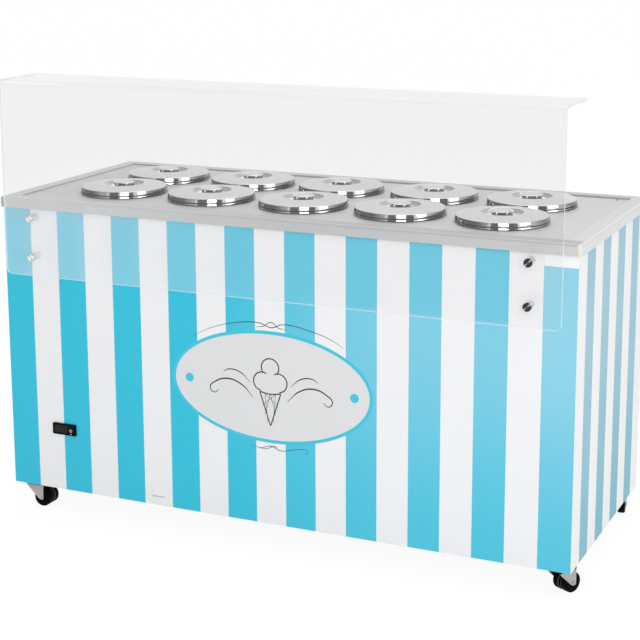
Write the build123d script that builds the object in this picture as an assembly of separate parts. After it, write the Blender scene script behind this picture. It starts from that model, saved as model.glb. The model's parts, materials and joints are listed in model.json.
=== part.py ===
# Gelato display cabinet on casters, in millimetres.
# +X runs along its length, the customer's side faces -Y and +Z is up. The origin is on the floor,
# under the middle of the whole outline.
from build123d import *
import os

# Panels and base
cabinet_length = 1615.0  # over the side panels
cabinet_depth = 670.0  # over the front and rear panels
panel_height = 792.0  # lower edge to the worktop's lip
panel_clearance = 75.0  # floor to the lower edge
panel_sheet = 1.5
lower_return = 12.0
upper_return = 8.0
base_sheet = 2.0

# Worktop
worktop_sheet = 2.0
lip_height = 28.0
lip_overhang = 8.0
rim_width = 42.0
deck_recess = 4.0
worktop_corner = 10.0
worktop_edge = 6.0

# Tubs, and the wells that they hang in
column_count = 5
column_pitch = 275.0
row_count = 2
row_pitch = 252.0
tub_diameter = 200.0
tub_depth = 250.0
tub_sheet = 1.2
tub_corner = 18.0
tub_rim_width = 5.0
tub_rim_thickness = 4.0
tub_drop = 8.0  # deck to the tub's rim
mouth_clearance = 1.0  # round the tub's rim
well_clearance = 3.0  # round the tub's wall
well_floor_gap = 5.0
liner_sheet = 1.5
liner_flange = 12.0
hole_margin = 3.0  # worktop hole beyond the liner's mouth
insulation_wall = 30.0

# Lids
lid_diameter = 234.0
lid_height = 19.0
lid_crown = 7.0  # rise of the top from its rim to the dish
lid_sheet = 1.5
lid_skirt = 3.0
lid_rounding = 2.0
groove_height = 6.5
groove_width = 1.6
dish_diameter = 116.0
dish_depth = 13.0
dish_taper = 4.0
plug_clearance = 3.0
plug_wall = 3.0
plug_drop = 5.0
knob_diameter = 58.0
knob_base = 34.0
knob_rise = 4.0  # above the edge of the dish
knob_edge = 2.0

# Guard and its standoffs
guard_margin = 31.0  # in from the side panels
guard_sheet = 6.0
guard_bottom = 612.0  # above the panels' lower edge
guard_top = 1144.0
guard_shelf = 176.0
guard_bend = 6.0  # inner radius
guard_corner = 22.0
standoff_length = 24.0
standoff_diameter = 16.0
standoff_inset = 110.0
standoff_upper = 775.0  # above the panels' lower edge
standoff_pitch = 107.0
standoff_stud = 6.0
stud_reach = 9.0
cap_diameter = 21.0
cap_thickness = 7.0
cap_rounding = 1.5
cap_stud = 8.0
cap_stud_reach = 12.0  # into the barrel
guard_hole_clearance = 0.4

# Thermostat
thermostat_inset = 172.5  # from the left panel's face
thermostat_level = 177.0  # above the panels' lower edge
bezel_width = 74.0
bezel_height = 32.0
bezel_thickness = 5.0
bezel_corner = 3.0
case_width = 71.0
case_height = 29.0
case_depth = 52.0
window_width = 40.0
window_height = 20.0
window_thickness = 1.2
window_offset = -10.0
button_diameter = 11.0
button_offset = 22.0
button_drop = 1.5
button_proud = 1.5
button_depth = 4.0
button_travel = 1.0
button_clearance = 0.3

# Blind plate low on the front
blind_inset = 467.0
blind_level = 47.0
blind_width = 38.0
blind_height = 45.0
blind_thickness = 2.5
blind_stub = 20.0
blind_stub_length = 8.0

# Casters
caster_inset = 52.0  # front or rear panel's face to the swivel axis
caster_end_inset = 42.0  # end panel's face to the swivel axis
caster_plate = 56.0
caster_plate_sheet = 3.0
bearing_diameter = 42.0
bearing_height = 5.0
kingpin_diameter = 12.0
kingpin_length = 6.0
running_clearance = 0.05
fork_top_sheet = 6.0
fork_leg_sheet = 2.5
fork_lead = 23.0
fork_toe = 6.5
trail = 26.0
wheel_diameter = 53.0
wheel_width = 46.0
wheel_gap = 1.0
wheel_rounding = 4.0
tread_groove = 5.0
tread_groove_depth = 4.0
axle_diameter = 8.0
axle_head = 10.0
axle_head_thickness = 1.6
caster_bolt_pitch = 42.0
caster_bolt = 6.0
caster_bolt_head = 11.0
caster_bolt_head_thickness = 4.0
# Left front, right front, left rear, right rear: heading of the trailing wheel
caster_headings = [-1.0, 62.0, -20.0, 98.0]

# Support rails and evaporator coil under the wells
rail_width = 25.0
rail_height = 40.0
rail_wall = 2.0
rail_pitch = 300.0
coil_tube = 10.0
coil_runs = 6
coil_pitch = 80.0
coil_overrun = 34.0  # past the outer wells' axes
coil_gap = 0.8  # under the wells' floors
coil_drop_bend = 12.0

# Machine compartment
compressor_gap = 140.0  # past the electrical box
compressor_y = 60.0  # behind the middle of the cabinet
compressor_diameter = 170.0
compressor_height = 190.0
compressor_rounding = 45.0
compressor_plate = 200.0
compressor_plate_depth = 150.0
compressor_plate_sheet = 3.0
foot_diameter = 28.0
foot_height = 18.0
foot_margin = 20.0
condenser_gap = 255.0  # past the compressor, room for the lines
condenser_width = 300.0
condenser_depth = 50.0
condenser_height = 250.0
condenser_rear_gap = 14.0
condenser_end = 3.0
fin_thickness = 1.5
fin_count = 23
fin_margin = 6.0
condenser_tube = 10.0
condenser_tube_rows = 4
shroud_sheet = 6.0
fan_diameter = 212.0
fan_clearance = 7.0
blade_count = 5
blade_chord = 54.0
blade_thickness = 2.5
blade_pitch = 28.0
hub_diameter = 60.0
hub_length = 24.0
fan_gap = 6.0
shaft_diameter = 8.0
motor_diameter = 84.0
motor_length = 62.0
motor_gap = 5.0
motor_foot_width = 60.0
line_tube = 8.0
line_bend = 30.0
line_level = 420.0
discharge_level = 200.0
liquid_level = 150.0
line_spacing = 40.0

# Rear panel fittings
grille_width = 340.0
grille_height = 240.0
grille_thickness = 2.0
slat_count = 11
slat_gap = 9.0
slat_margin = 22.0
window_bar = 12.0
inlet_level = 100.0  # above the panels' lower edge
inlet_width = 48.0
inlet_height = 28.0
inlet_flange = 6.0
inlet_flange_thickness = 3.0
inlet_depth = 26.0
socket_margin = 5.0
socket_depth = 16.0
box_clearance = 31.0  # past the bolts of the left casters
box_width = 160.0
box_depth = 90.0
box_height = 150.0
screw_head = 8.0
screw_head_thickness = 2.2
screw_shank = 4.0
screw_columns = 5
screw_inset = 40.0

# Levels
panel_bottom = panel_clearance
base_under = panel_bottom + panel_sheet
base_top = base_under + base_sheet
lip_bottom = panel_bottom + panel_height
rim_top = lip_bottom + lip_height
panel_top = rim_top - worktop_sheet
deck_top = rim_top - deck_recess
deck_under = deck_top - worktop_sheet
tub_rim_top = deck_top - tub_drop
ledge = tub_rim_top - tub_rim_thickness
tub_bottom = tub_rim_top - tub_depth
liner_floor = tub_bottom - well_floor_gap
liner_bottom = liner_floor - liner_sheet
insulation_top = deck_under - liner_sheet
insulation_bottom = liner_bottom - insulation_wall
coil_level = liner_bottom - coil_gap - coil_tube / 2
wheel_radius = wheel_diameter / 2
fork_back = trail + fork_toe  # the legs' trailing edges stand upright
plate_under = base_under - caster_plate_sheet
bearing_under = plate_under - bearing_height
fork_under = bearing_under - fork_top_sheet

# Faces: the outline is centred, and the guard's caps reach further out than the rear lip
half_length = cabinet_length / 2
front_reach = standoff_length + guard_sheet + cap_thickness
body_y = (front_reach - lip_overhang) / 2
front_face = body_y - cabinet_depth / 2
rear_face = body_y + cabinet_depth / 2
inner_x = half_length - panel_sheet
inner_front = front_face + panel_sheet
inner_rear = rear_face - panel_sheet
guard_rear = front_face - standoff_length
guard_front = guard_rear - guard_sheet
bezel_front = front_face - bezel_thickness

# Radii round each well
tub_radius = tub_diameter / 2
tub_rim_radius = tub_radius + tub_rim_width
mouth_radius = tub_rim_radius + mouth_clearance
well_radius = tub_radius + well_clearance
hole_radius = mouth_radius + hole_margin
flange_radius = mouth_radius + liner_sheet + liner_flange
lid_radius = lid_diameter / 2
dish_radius = dish_diameter / 2
plug_radius = mouth_radius - plug_clearance

# Places
well_columns = [(i - (column_count - 1) / 2) * column_pitch for i in range(column_count)]
well_rows = [body_y + (j - (row_count - 1) / 2) * row_pitch for j in range(row_count)]
well_centres = [(x, y) for y in well_rows for x in well_columns]
caster_x = half_length - caster_end_inset
caster_centres = [
    (side * caster_x, y)
    for y in (front_face + caster_inset, rear_face - caster_inset)
    for side in (-1, 1)
]
standoff_x = half_length - standoff_inset
standoff_z = panel_bottom + standoff_upper
standoff_centres = [
    (side * standoff_x, z)
    for side in (-1, 1)
    for z in (standoff_z, standoff_z - standoff_pitch)
]
thermostat_x = -half_length + thermostat_inset
thermostat_z = panel_bottom + thermostat_level
button_x = thermostat_x + button_offset
button_z = thermostat_z - button_drop
blind_x = -half_length + blind_inset
blind_z = panel_bottom + blind_level
box_left = -caster_x + caster_bolt_pitch / 2 + caster_bolt_head / 2 + box_clearance
inlet_x = box_left + box_width / 2
compressor_x = box_left + box_width + compressor_gap + compressor_plate / 2
compressor_mid_y = body_y + compressor_y
compressor_base = base_top + foot_height + compressor_plate_sheet
compressor_top = compressor_base + compressor_height
condenser_rear = inner_rear - condenser_rear_gap
condenser_front = condenser_rear - condenser_depth
condenser_mid_y = condenser_front + condenser_depth / 2
condenser_left = compressor_x + compressor_diameter / 2 + condenser_gap
condenser_x = condenser_left + condenser_width / 2
fan_z = base_top + condenser_height / 2
hub_rear = condenser_front - shroud_sheet - fan_gap
hub_front = hub_rear - hub_length
motor_rear = hub_front - motor_gap
inlet_z = panel_bottom + inlet_level
grille_left = condenser_x - grille_width / 2
grille_low = fan_z - grille_height / 2


def block(x, y, z):
    """Box between two limits along each axis."""
    size = [limits[1] - limits[0] for limits in (x, y, z)]
    middle = [(limits[0] + limits[1]) / 2 for limits in (x, y, z)]
    return Pos(*middle) * Box(*size)


def around(middle, size):
    """Limits of a size centred on a middle."""
    return (middle - size / 2, middle + size / 2)


def spun(points, radii=0):
    """Solid of revolution about Z from an outline of radius and height."""
    outline = FilletPolyline(*points, radius=radii, close=True)
    return revolve(Plane.XZ * make_face(outline), Axis.Z)


def upright(radius, x, y, z):
    """Cylinder along Z between two levels."""
    return Pos(x, y, (z[0] + z[1]) / 2) * Cylinder(radius, z[1] - z[0])


def crossways(radius, x, y, z):
    """Cylinder along Y between two places."""
    return Pos(x, (y[0] + y[1]) / 2, z) * Rot(90, 0, 0) * Cylinder(radius, y[1] - y[0])


def tube_along(points, diameter, radii):
    """Round tube along straight runs joined by arcs."""
    path = FilletPolyline(*points, radius=radii)
    section = Plane(origin=path @ 0, z_dir=path % 0) * Circle(diameter / 2)
    return sweep(section, path=path)


def fused(first, *others):
    """One solid from pieces that meet."""
    result = first
    for other in others:
        result += other
    return result


def save(node, *solids):
    """Write one sub-part as a STEP file."""
    shape = solids[0] if len(solids) == 1 else Compound([item.solid() for item in solids])
    export_step(shape, f"parts/{node}.step")


def long_panel(outer, inward):
    """Front or rear panel: a sheet with folded returns; inward is +1 or -1 along Y."""
    def strip(start, end, x, z):
        return block(x, sorted((outer + inward * start, outer + inward * end)), z)

    inner = (-inner_x, inner_x)
    return fused(
        strip(0, panel_sheet, (-half_length, half_length), (panel_bottom, panel_top)),
        strip(panel_sheet, panel_sheet + lower_return, inner, (panel_bottom, base_under)),
        strip(panel_sheet, panel_sheet + upper_return, inner, (panel_top - panel_sheet, panel_top)),
    )


def end_panel(side):
    """Left or right panel, between the long ones; side is -1 or +1 along X."""
    def strip(start, end, shorter, z):
        x = sorted((side * (half_length - start), side * (half_length - end)))
        return block(x, (inner_front + shorter, inner_rear - shorter), z)

    return fused(
        strip(0, panel_sheet, 0, (panel_bottom, panel_top)),
        strip(panel_sheet, panel_sheet + lower_return, lower_return, (panel_bottom, base_under)),
        strip(panel_sheet, panel_sheet + upper_return, upper_return, (panel_top - panel_sheet, panel_top)),
    )


def make_front_panel():
    panel = long_panel(front_face, 1)
    through = (front_face, inner_front)
    panel -= block(around(thermostat_x, case_width), through, around(thermostat_z, case_height))
    panel -= crossways(blind_stub / 2, blind_x, through, blind_z)
    for x, z in standoff_centres:
        panel -= crossways(standoff_stud / 2, x, through, z)
    return panel


def rear_screw_places():
    """A row along the top, and two more screws down each end."""
    last = screw_columns - 1
    reach = half_length - screw_inset
    top, bottom = lip_bottom - screw_inset, panel_bottom + screw_inset
    row = [(-reach + 2 * reach * i / last, top) for i in range(screw_columns)]
    return row + [(side * reach, z) for side in (-1, 1) for z in ((top + bottom) / 2, bottom)]


def grille_screw_places():
    return [
        (x, z)
        for x in (grille_left + slat_margin / 2, grille_left + grille_width - slat_margin / 2)
        for z in (grille_low + slat_margin / 2, grille_low + grille_height - slat_margin / 2)
    ]


def make_rear_panel():
    panel = long_panel(rear_face, -1)
    through = (inner_rear, rear_face)
    window_x = (grille_width - 2 * slat_margin - window_bar) / 2
    window_z = (grille_height - 2 * slat_margin - window_bar) / 2
    for i in (-1, 1):
        for j in (-1, 1):
            x = condenser_x + i * (window_x + window_bar) / 2
            z = fan_z + j * (window_z + window_bar) / 2
            panel -= block(around(x, window_x), through, around(z, window_z))
    panel -= block(around(inlet_x, inlet_width), through, around(inlet_z, inlet_height))
    for x, z in rear_screw_places() + grille_screw_places():
        panel -= crossways(screw_shank / 2, x, through, z)
    return panel


def make_rear_grille():
    y = (rear_face, rear_face + grille_thickness)
    grille = block(around(condenser_x, grille_width), y, around(fan_z, grille_height))
    pitch = (grille_height - 2 * slat_margin) / slat_count
    for i in range(slat_count):
        z = grille_low + slat_margin + (i + 0.5) * pitch
        grille -= block(around(condenser_x, grille_width - 2 * slat_margin), y, around(z, slat_gap))
    for x, z in grille_screw_places():
        grille -= crossways(screw_shank / 2, x, y, z)
    return grille


def rear_screw(x, seat, z):
    head = crossways(screw_head / 2, x, (seat, seat + screw_head_thickness), z)
    return head + crossways(screw_shank / 2, x, (inner_rear, seat), z)


def make_base_panel():
    base = block((-inner_x, inner_x), (inner_front, inner_rear), (base_under, base_top))
    for x, y in caster_bolt_places():
        base -= upright(caster_bolt / 2, x, y, (base_under, base_top))
    return base


def make_worktop():
    length = cabinet_length + 2 * lip_overhang
    depth = cabinet_depth + 2 * lip_overhang
    outer = block(around(0, length), around(body_y, depth), (lip_bottom, rim_top))
    outer = fillet(outer.edges().filter_by(Axis.Z), worktop_corner)
    outer = fillet(outer.faces().sort_by(Axis.Z)[-1].edges(), worktop_edge)

    def inset(distance, z):
        x = around(0, length - 2 * distance)
        return block(x, around(body_y, depth - 2 * distance), z)

    pan = inset(rim_width - worktop_sheet, (deck_under, panel_top))
    worktop = outer - (inset(worktop_sheet, (lip_bottom, panel_top)) - pan)
    worktop -= inset(rim_width, (deck_top, rim_top))
    for x, y in well_centres:
        worktop -= upright(hole_radius, x, y, (deck_under, deck_top))
    return worktop


def liner_outline():
    neck = mouth_radius + liner_sheet
    wall = well_radius + liner_sheet
    return [
        (mouth_radius, deck_under),
        (flange_radius, deck_under),
        (flange_radius, insulation_top),
        (neck, insulation_top),
        (neck, ledge - liner_sheet),
        (wall, ledge - liner_sheet),
        (wall, liner_bottom),
        (0, liner_bottom),
        (0, liner_floor),
        (well_radius, liner_floor),
        (well_radius, ledge),
        (mouth_radius, ledge),
    ]


def coil_points():
    """Serpentine under the wells, with both ends turned down through the insulation."""
    end = (column_count - 1) / 2 * column_pitch + coil_overrun
    first_y = body_y - (coil_runs - 1) / 2 * coil_pitch
    points = [(-end, first_y, insulation_bottom)]
    for run in range(coil_runs):
        y = first_y + run * coil_pitch
        forward = 1 if run % 2 == 0 else -1
        points += [(-forward * end, y, coil_level), (forward * end, y, coil_level)]
    points.append((-end, y, insulation_bottom))
    return points


def make_evaporator_coil():
    points = coil_points()
    turn = 0.48 * coil_pitch
    radii = [coil_drop_bend] + [turn] * (len(points) - 4) + [coil_drop_bend]
    return tube_along(points, coil_tube, radii)


def make_insulation(coil):
    reach = mouth_radius + liner_sheet + insulation_wall
    x = (well_columns[0] - reach, well_columns[-1] + reach)
    y = (well_rows[0] - reach, well_rows[-1] + reach)
    foam = block(x, y, (insulation_bottom, insulation_top))
    for wx, wy in well_centres:
        foam -= upright(mouth_radius + liner_sheet, wx, wy, (ledge - liner_sheet, insulation_top))
        foam -= upright(well_radius + liner_sheet, wx, wy, (liner_bottom, insulation_top))
    return foam - coil


def make_support_rail(y):
    span = (-inner_x, inner_x)
    z = (insulation_bottom - rail_height, insulation_bottom)
    hollow = (z[0] + rail_wall, z[1] - rail_wall)
    return block(span, around(y, rail_width), z) - block(span, around(y, rail_width - 2 * rail_wall), hollow)


def tub_outline():
    inner = tub_radius - tub_sheet
    return [
        (0, tub_bottom),
        (tub_radius, tub_bottom),
        (tub_radius, ledge),
        (tub_rim_radius, ledge),
        (tub_rim_radius, tub_rim_top),
        (inner, tub_rim_top),
        (inner, tub_bottom + tub_sheet),
        (0, tub_bottom + tub_sheet),
    ]


def make_tub(x, y):
    edge = tub_rim_thickness / 4
    radii = [0, tub_corner, 0, edge, edge, 0, tub_corner - tub_sheet, 0]
    return Pos(x, y, 0) * spun(tub_outline(), radii)


def make_lid(x, y):
    """Spun cap: grooved skirt, crowned top, dished middle and a ring that drops into the well's mouth."""
    top = lid_height + lid_crown
    floor = top - dish_depth
    dish_foot = dish_radius - dish_taper
    skirt = lid_radius - lid_skirt
    plug_inner = plug_radius - plug_wall
    outline = [
        (plug_inner, -plug_drop),
        (plug_radius, -plug_drop),
        (plug_radius, 0),
        (lid_radius, 0),
        (lid_radius, groove_height - groove_width / 2),
        (lid_radius - groove_width / 2, groove_height),
        (lid_radius, groove_height + groove_width / 2),
        (lid_radius, lid_height),
        (dish_radius, top),
        (dish_foot, floor),
        (0, floor),
        (0, floor - lid_sheet),
        (dish_foot + lid_sheet, floor - lid_sheet),
        (dish_radius + lid_sheet, top - lid_sheet),
        (skirt, lid_height - lid_sheet),
        (skirt, lid_sheet),
        (plug_inner, lid_sheet),
    ]
    radii = [lid_rounding if point in (outline[7], outline[8], outline[9]) else 0 for point in outline]
    return Pos(x, y, deck_top) * spun(outline, radii)


def make_knob(x, y):
    """Flared knob standing on the floor of the dish."""
    foot = lid_height + lid_crown - dish_depth
    top = lid_height + lid_crown + knob_rise
    base = knob_base / 2
    rim = knob_diameter / 2
    brim = top - knob_edge
    waist = (base + 0.25 * (rim - base), foot + 0.65 * (brim - foot))
    edges = [
        Line((0, foot), (base, foot)),
        ThreePointArc((base, foot), waist, (rim, brim)),
        Line((rim, brim), (rim - knob_edge, top)),
        Line((rim - knob_edge, top), (0, top)),
        Line((0, top), (0, foot)),
    ]
    return Pos(x, y, deck_top) * revolve(Plane.XZ * make_face(edges), Axis.Z)


def make_guard():
    bottom = panel_bottom + guard_bottom
    top = panel_bottom + guard_top
    shelf_rear = guard_front + guard_shelf
    outline = [
        (guard_front, bottom),
        (guard_rear, bottom),
        (guard_rear, top - guard_sheet),
        (shelf_rear, top - guard_sheet),
        (shelf_rear, top),
        (guard_front, top),
    ]
    radii = [0, 0, guard_bend, 0, 0, guard_bend + guard_sheet]
    width = cabinet_length - 2 * guard_margin
    face = Plane.YZ * make_face(FilletPolyline(*outline, radius=radii, close=True))
    guard = Pos(-width / 2, 0, 0) * extrude(face, width)
    corners = guard.edges().filter_by(Axis.Y).group_by(Axis.Z)[0]
    guard = fillet(corners, guard_corner)
    for x, z in standoff_centres:
        guard -= crossways(cap_stud / 2 + guard_hole_clearance, x, (guard_front, guard_rear), z)
    return guard


def make_standoff_barrel(x, z):
    barrel = crossways(standoff_diameter / 2, x, (guard_rear, front_face), z)
    barrel += crossways(standoff_stud / 2, x, (front_face, front_face + stud_reach), z)
    return barrel - crossways(cap_stud / 2, x, (guard_rear, guard_rear + cap_stud_reach), z)


def make_standoff_cap(x, z):
    head = crossways(cap_diameter / 2, x, (guard_front - cap_thickness, guard_front), z)
    head = fillet(head.edges().filter_by(GeomType.CIRCLE).sort_by(Axis.Y)[0], cap_rounding)
    return head + crossways(cap_stud / 2, x, (guard_front, guard_rear + cap_stud_reach), z)


def make_thermostat():
    """Bezel against the panel and a case behind it, with seats for the window and the button."""
    bezel = block(
        around(thermostat_x, bezel_width),
        (bezel_front, front_face),
        around(thermostat_z, bezel_height),
    )
    bezel = fillet(bezel.edges().filter_by(Axis.Y), bezel_corner)
    case = block(
        around(thermostat_x, case_width),
        (front_face, front_face + case_depth),
        around(thermostat_z, case_height),
    )
    seat = (bezel_front, bezel_front + button_depth + button_travel + button_clearance)
    hole = crossways(button_diameter / 2 + button_clearance, button_x, seat, button_z)
    return bezel + case - make_window() - hole


def make_window():
    return block(
        around(thermostat_x + window_offset, window_width),
        (bezel_front, bezel_front + window_thickness),
        around(thermostat_z, window_height),
    )


def make_button():
    y = (bezel_front - button_proud, bezel_front + button_depth)
    button = crossways(button_diameter / 2, button_x, y, button_z)
    return fillet(button.edges().filter_by(GeomType.CIRCLE).sort_by(Axis.Y)[0], button_proud / 2)


def make_blind_plate():
    plate_y = (front_face - blind_thickness, front_face)
    plate = block(around(blind_x, blind_width), plate_y, around(blind_z, blind_height))
    plate = fillet(plate.faces().sort_by(Axis.Y)[0].edges(), blind_thickness / 2)
    return plate + crossways(blind_stub / 2, blind_x, (front_face, front_face + blind_stub_length), blind_z)


def caster_bolt_places():
    half = caster_bolt_pitch / 2
    return [(x + i * half, y + j * half) for x, y in caster_centres for i in (-1, 1) for j in (-1, 1)]


def make_caster_plate(x, y):
    plate = block(around(x, caster_plate), around(y, caster_plate), (plate_under, base_under))
    plate += upright(bearing_diameter / 2, x, y, (bearing_under, plate_under))
    socket = kingpin_diameter / 2 + running_clearance
    plate -= upright(socket, x, y, (bearing_under, bearing_under + kingpin_length + running_clearance))
    half = caster_bolt_pitch / 2
    for i in (-1, 1):
        for j in (-1, 1):
            plate -= upright(caster_bolt / 2, x + i * half, y + j * half, (plate_under, base_under))
    return plate


def make_caster_bolt(x, y):
    """Bolt head under the plate, shank through plate and base, nut on the base."""
    return fused(
        upright(caster_bolt_head / 2, x, y, (plate_under - caster_bolt_head_thickness, plate_under)),
        upright(caster_bolt / 2, x, y, (plate_under, base_top)),
        upright(caster_bolt_head / 2, x, y, (base_top, base_top + caster_bolt_head_thickness)),
    )


def placed_caster(index, solid):
    x, y = caster_centres[index]
    return Pos(x, y, 0) * Rot(0, 0, caster_headings[index]) * solid


def make_fork():
    """Fork at the origin, trailing along +X: kingpin, top plate and two tapered legs."""
    inside = wheel_width / 2 + wheel_gap
    outside = inside + fork_leg_sheet
    top = block((-fork_lead, fork_back), (-outside, outside), (fork_under, bearing_under))
    pin = upright(kingpin_diameter / 2, 0, 0, (bearing_under, bearing_under + kingpin_length))
    shoulder = Line((-fork_lead, fork_under), (fork_back, fork_under))
    toe = Pos(trail, wheel_radius) * Circle(fork_toe)
    leg = extrude(Plane.XZ * make_hull(shoulder.edges() + toe.edges()), fork_leg_sheet)
    fork = fused(top, pin, Pos(0, outside, 0) * leg, Pos(0, -inside, 0) * leg)
    return fork - crossways(axle_diameter / 2, trail, (-outside, outside), wheel_radius)


def make_axle():
    """Axle bolt with a head against each leg."""
    outside = wheel_width / 2 + wheel_gap + fork_leg_sheet
    end = outside + axle_head_thickness
    return fused(
        crossways(axle_diameter / 2, trail, (-outside, outside), wheel_radius),
        crossways(axle_head / 2, trail, (-end, -outside), wheel_radius),
        crossways(axle_head / 2, trail, (outside, end), wheel_radius),
    )


def make_wheel():
    """Wide wheel with a groove round the middle of its tread."""
    half = wheel_width / 2
    bore = axle_diameter / 2 + running_clearance
    groove = tread_groove / 2
    floor = wheel_radius - tread_groove_depth
    outline = [
        (bore, -half),
        (wheel_radius, -half),
        (wheel_radius, -groove),
        (floor, -groove),
        (floor, groove),
        (wheel_radius, groove),
        (wheel_radius, half),
        (bore, half),
    ]
    radii = [0, wheel_rounding, 1, 0, 0, 1, wheel_rounding, 0]
    face = make_face(FilletPolyline(*outline, radius=radii, close=True))
    return Pos(trail, 0, wheel_radius) * revolve(face, Axis.Y)


def compressor_feet_places():
    x_reach = compressor_plate / 2 - foot_margin
    y_reach = compressor_plate_depth / 2 - foot_margin
    return [
        (compressor_x + i * x_reach, compressor_mid_y + j * y_reach) for i in (-1, 1) for j in (-1, 1)
    ]


def make_compressor_foot(x, y):
    return upright(foot_diameter / 2, x, y, (base_top, base_top + foot_height))


def make_compressor():
    """Domed pot on a flat foot plate."""
    radius = compressor_diameter / 2
    plate = block(
        around(compressor_x, compressor_plate),
        around(compressor_mid_y, compressor_plate_depth),
        (compressor_base - compressor_plate_sheet, compressor_base),
    )
    pot = upright(radius, compressor_x, compressor_mid_y, (compressor_base, compressor_top))
    pot = fillet(pot.edges().filter_by(GeomType.CIRCLE).sort_by(Axis.Z)[-1], compressor_rounding)
    return plate + pot


def make_condenser():
    """Row of fins between two end plates, threaded on tubes."""
    y = (condenser_front, condenser_rear)
    z = (base_top, base_top + condenser_height)
    half = condenser_width / 2
    span = condenser_width - 2 * condenser_end
    ends = [
        block((condenser_left, condenser_left + condenser_end), y, z),
        block((condenser_x + half - condenser_end, condenser_x + half), y, z),
    ]
    pitch = span / (fin_count + 1)
    fin_y = (y[0] + fin_margin, y[1] - fin_margin)
    fin_z = (z[0] + fin_margin, z[1] - fin_margin)
    fins = [
        block(around(condenser_left + condenser_end + (i + 1) * pitch, fin_thickness), fin_y, fin_z)
        for i in range(fin_count)
    ]
    step = condenser_height / condenser_tube_rows
    tubes = [
        Pos(condenser_x, condenser_mid_y, base_top + (i + 0.5) * step)
        * Rot(0, 90, 0)
        * Cylinder(condenser_tube / 2, span)
        for i in range(condenser_tube_rows)
    ]
    return fused(tubes[0], *ends, *fins, *tubes[1:])


def make_fan_shroud():
    y = (condenser_front - shroud_sheet, condenser_front)
    plate = block(around(condenser_x, condenser_width), y, (base_top, base_top + condenser_height))
    return plate - crossways(fan_diameter / 2 + fan_clearance, condenser_x, y, fan_z)


def make_fan_rotor():
    hub = crossways(hub_diameter / 2, 0, (hub_front, hub_rear), 0)
    middle = (hub_front + hub_rear) / 2
    inner = hub_diameter / 2 - blade_thickness * 2
    outer = fan_diameter / 2
    for i in range(blade_count):
        blade = Pos((inner + outer) / 2, 0, 0) * Rot(90 - blade_pitch, 0, 0) * Box(
            outer - inner, blade_chord, blade_thickness
        )
        hub += Pos(0, middle, 0) * Rot(0, i * 360 / blade_count, 0) * blade
    rotor = hub & crossways(outer, 0, (hub_front, hub_rear), 0)
    rotor -= crossways(shaft_diameter / 2 + running_clearance, 0, (hub_front, hub_rear), 0)
    return Pos(condenser_x, 0, fan_z) * rotor


def make_fan_motor():
    """Motor with its shaft, on a foot that stands on the base."""
    front = motor_rear - motor_length
    motor = crossways(motor_diameter / 2, condenser_x, (front, motor_rear), fan_z)
    shaft = crossways(shaft_diameter / 2, condenser_x, (motor_rear, hub_rear), fan_z)
    foot = block(around(condenser_x, motor_foot_width), (front, motor_rear), (base_top, fan_z))
    return fused(motor, foot, shaft)


def make_refrigerant_lines():
    """Suction, discharge and liquid lines between coil, compressor and condenser."""
    ends = coil_points()
    liquid_end, suction_end = ends[0], ends[-1]
    turn_x = condenser_left - line_spacing
    discharge_x = turn_x - line_spacing
    suction = [
        suction_end,
        (suction_end[0], suction_end[1], line_level),
        (compressor_x, suction_end[1], line_level),
        (compressor_x, compressor_mid_y, line_level),
        (compressor_x, compressor_mid_y, compressor_top),
    ]
    discharge = [
        (compressor_x + compressor_diameter / 2, compressor_mid_y, discharge_level),
        (discharge_x, compressor_mid_y, discharge_level),
        (discharge_x, condenser_mid_y, discharge_level),
        (condenser_left, condenser_mid_y, discharge_level),
    ]
    liquid = [
        liquid_end,
        (liquid_end[0], liquid_end[1], liquid_level),
        (turn_x, liquid_end[1], liquid_level),
        (turn_x, condenser_mid_y, liquid_level),
        (condenser_left, condenser_mid_y, liquid_level),
    ]
    return [tube_along(points, line_tube, line_bend) for points in (suction, discharge, liquid)]


def make_power_inlet():
    flange_y = (rear_face, rear_face + inlet_flange_thickness)
    body_limits = (rear_face - inlet_depth, rear_face)
    flange = block(
        around(inlet_x, inlet_width + 2 * inlet_flange),
        flange_y,
        around(inlet_z, inlet_height + 2 * inlet_flange),
    )
    body = block(around(inlet_x, inlet_width), body_limits, around(inlet_z, inlet_height))
    socket = block(
        around(inlet_x, inlet_width - 2 * socket_margin),
        (flange_y[1] - socket_depth, flange_y[1]),
        around(inlet_z, inlet_height - 2 * socket_margin),
    )
    return flange + body - socket


def make_electrical_box():
    y_end = rear_face - inlet_depth
    return block(around(inlet_x, box_width), (y_end - box_depth, y_end), (base_top, base_top + box_height))


os.makedirs("parts", exist_ok=True)

save("base_panel", make_base_panel())
save("front_panel", make_front_panel())
save("rear_panel", make_rear_panel())
save("left_panel", end_panel(-1))
save("right_panel", end_panel(1))
save("worktop", make_worktop())
save("well_liners", *[Pos(x, y, 0) * spun(liner_outline()) for x, y in well_centres])
coil = make_evaporator_coil()
save("evaporator_coil", coil)
save("insulation", make_insulation(coil))
save("support_rails", *[make_support_rail(body_y + side * rail_pitch / 2) for side in (-1, 1)])
for number, (x, y) in enumerate(well_centres, 1):
    save(f"tub_{number}", make_tub(x, y))
    save(f"lid_{number}", make_lid(x, y), make_knob(x, y))
save("sneeze_guard", make_guard())
save("standoff_barrels", *[make_standoff_barrel(x, z) for x, z in standoff_centres])
save("standoff_caps", *[make_standoff_cap(x, z) for x, z in standoff_centres])
save("thermostat", make_thermostat())
save("thermostat_window", make_window())
save("thermostat_button", make_button())
save("blind_plate", make_blind_plate())
save("caster_plates", *[make_caster_plate(x, y) for x, y in caster_centres])
save("caster_bolts", *[make_caster_bolt(x, y) for x, y in caster_bolt_places()])
for index in range(len(caster_centres)):
    save(f"caster_fork_{index + 1}", placed_caster(index, make_fork()), placed_caster(index, make_axle()))
    save(f"caster_wheel_{index + 1}", placed_caster(index, make_wheel()))
save("compressor", make_compressor())
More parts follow.
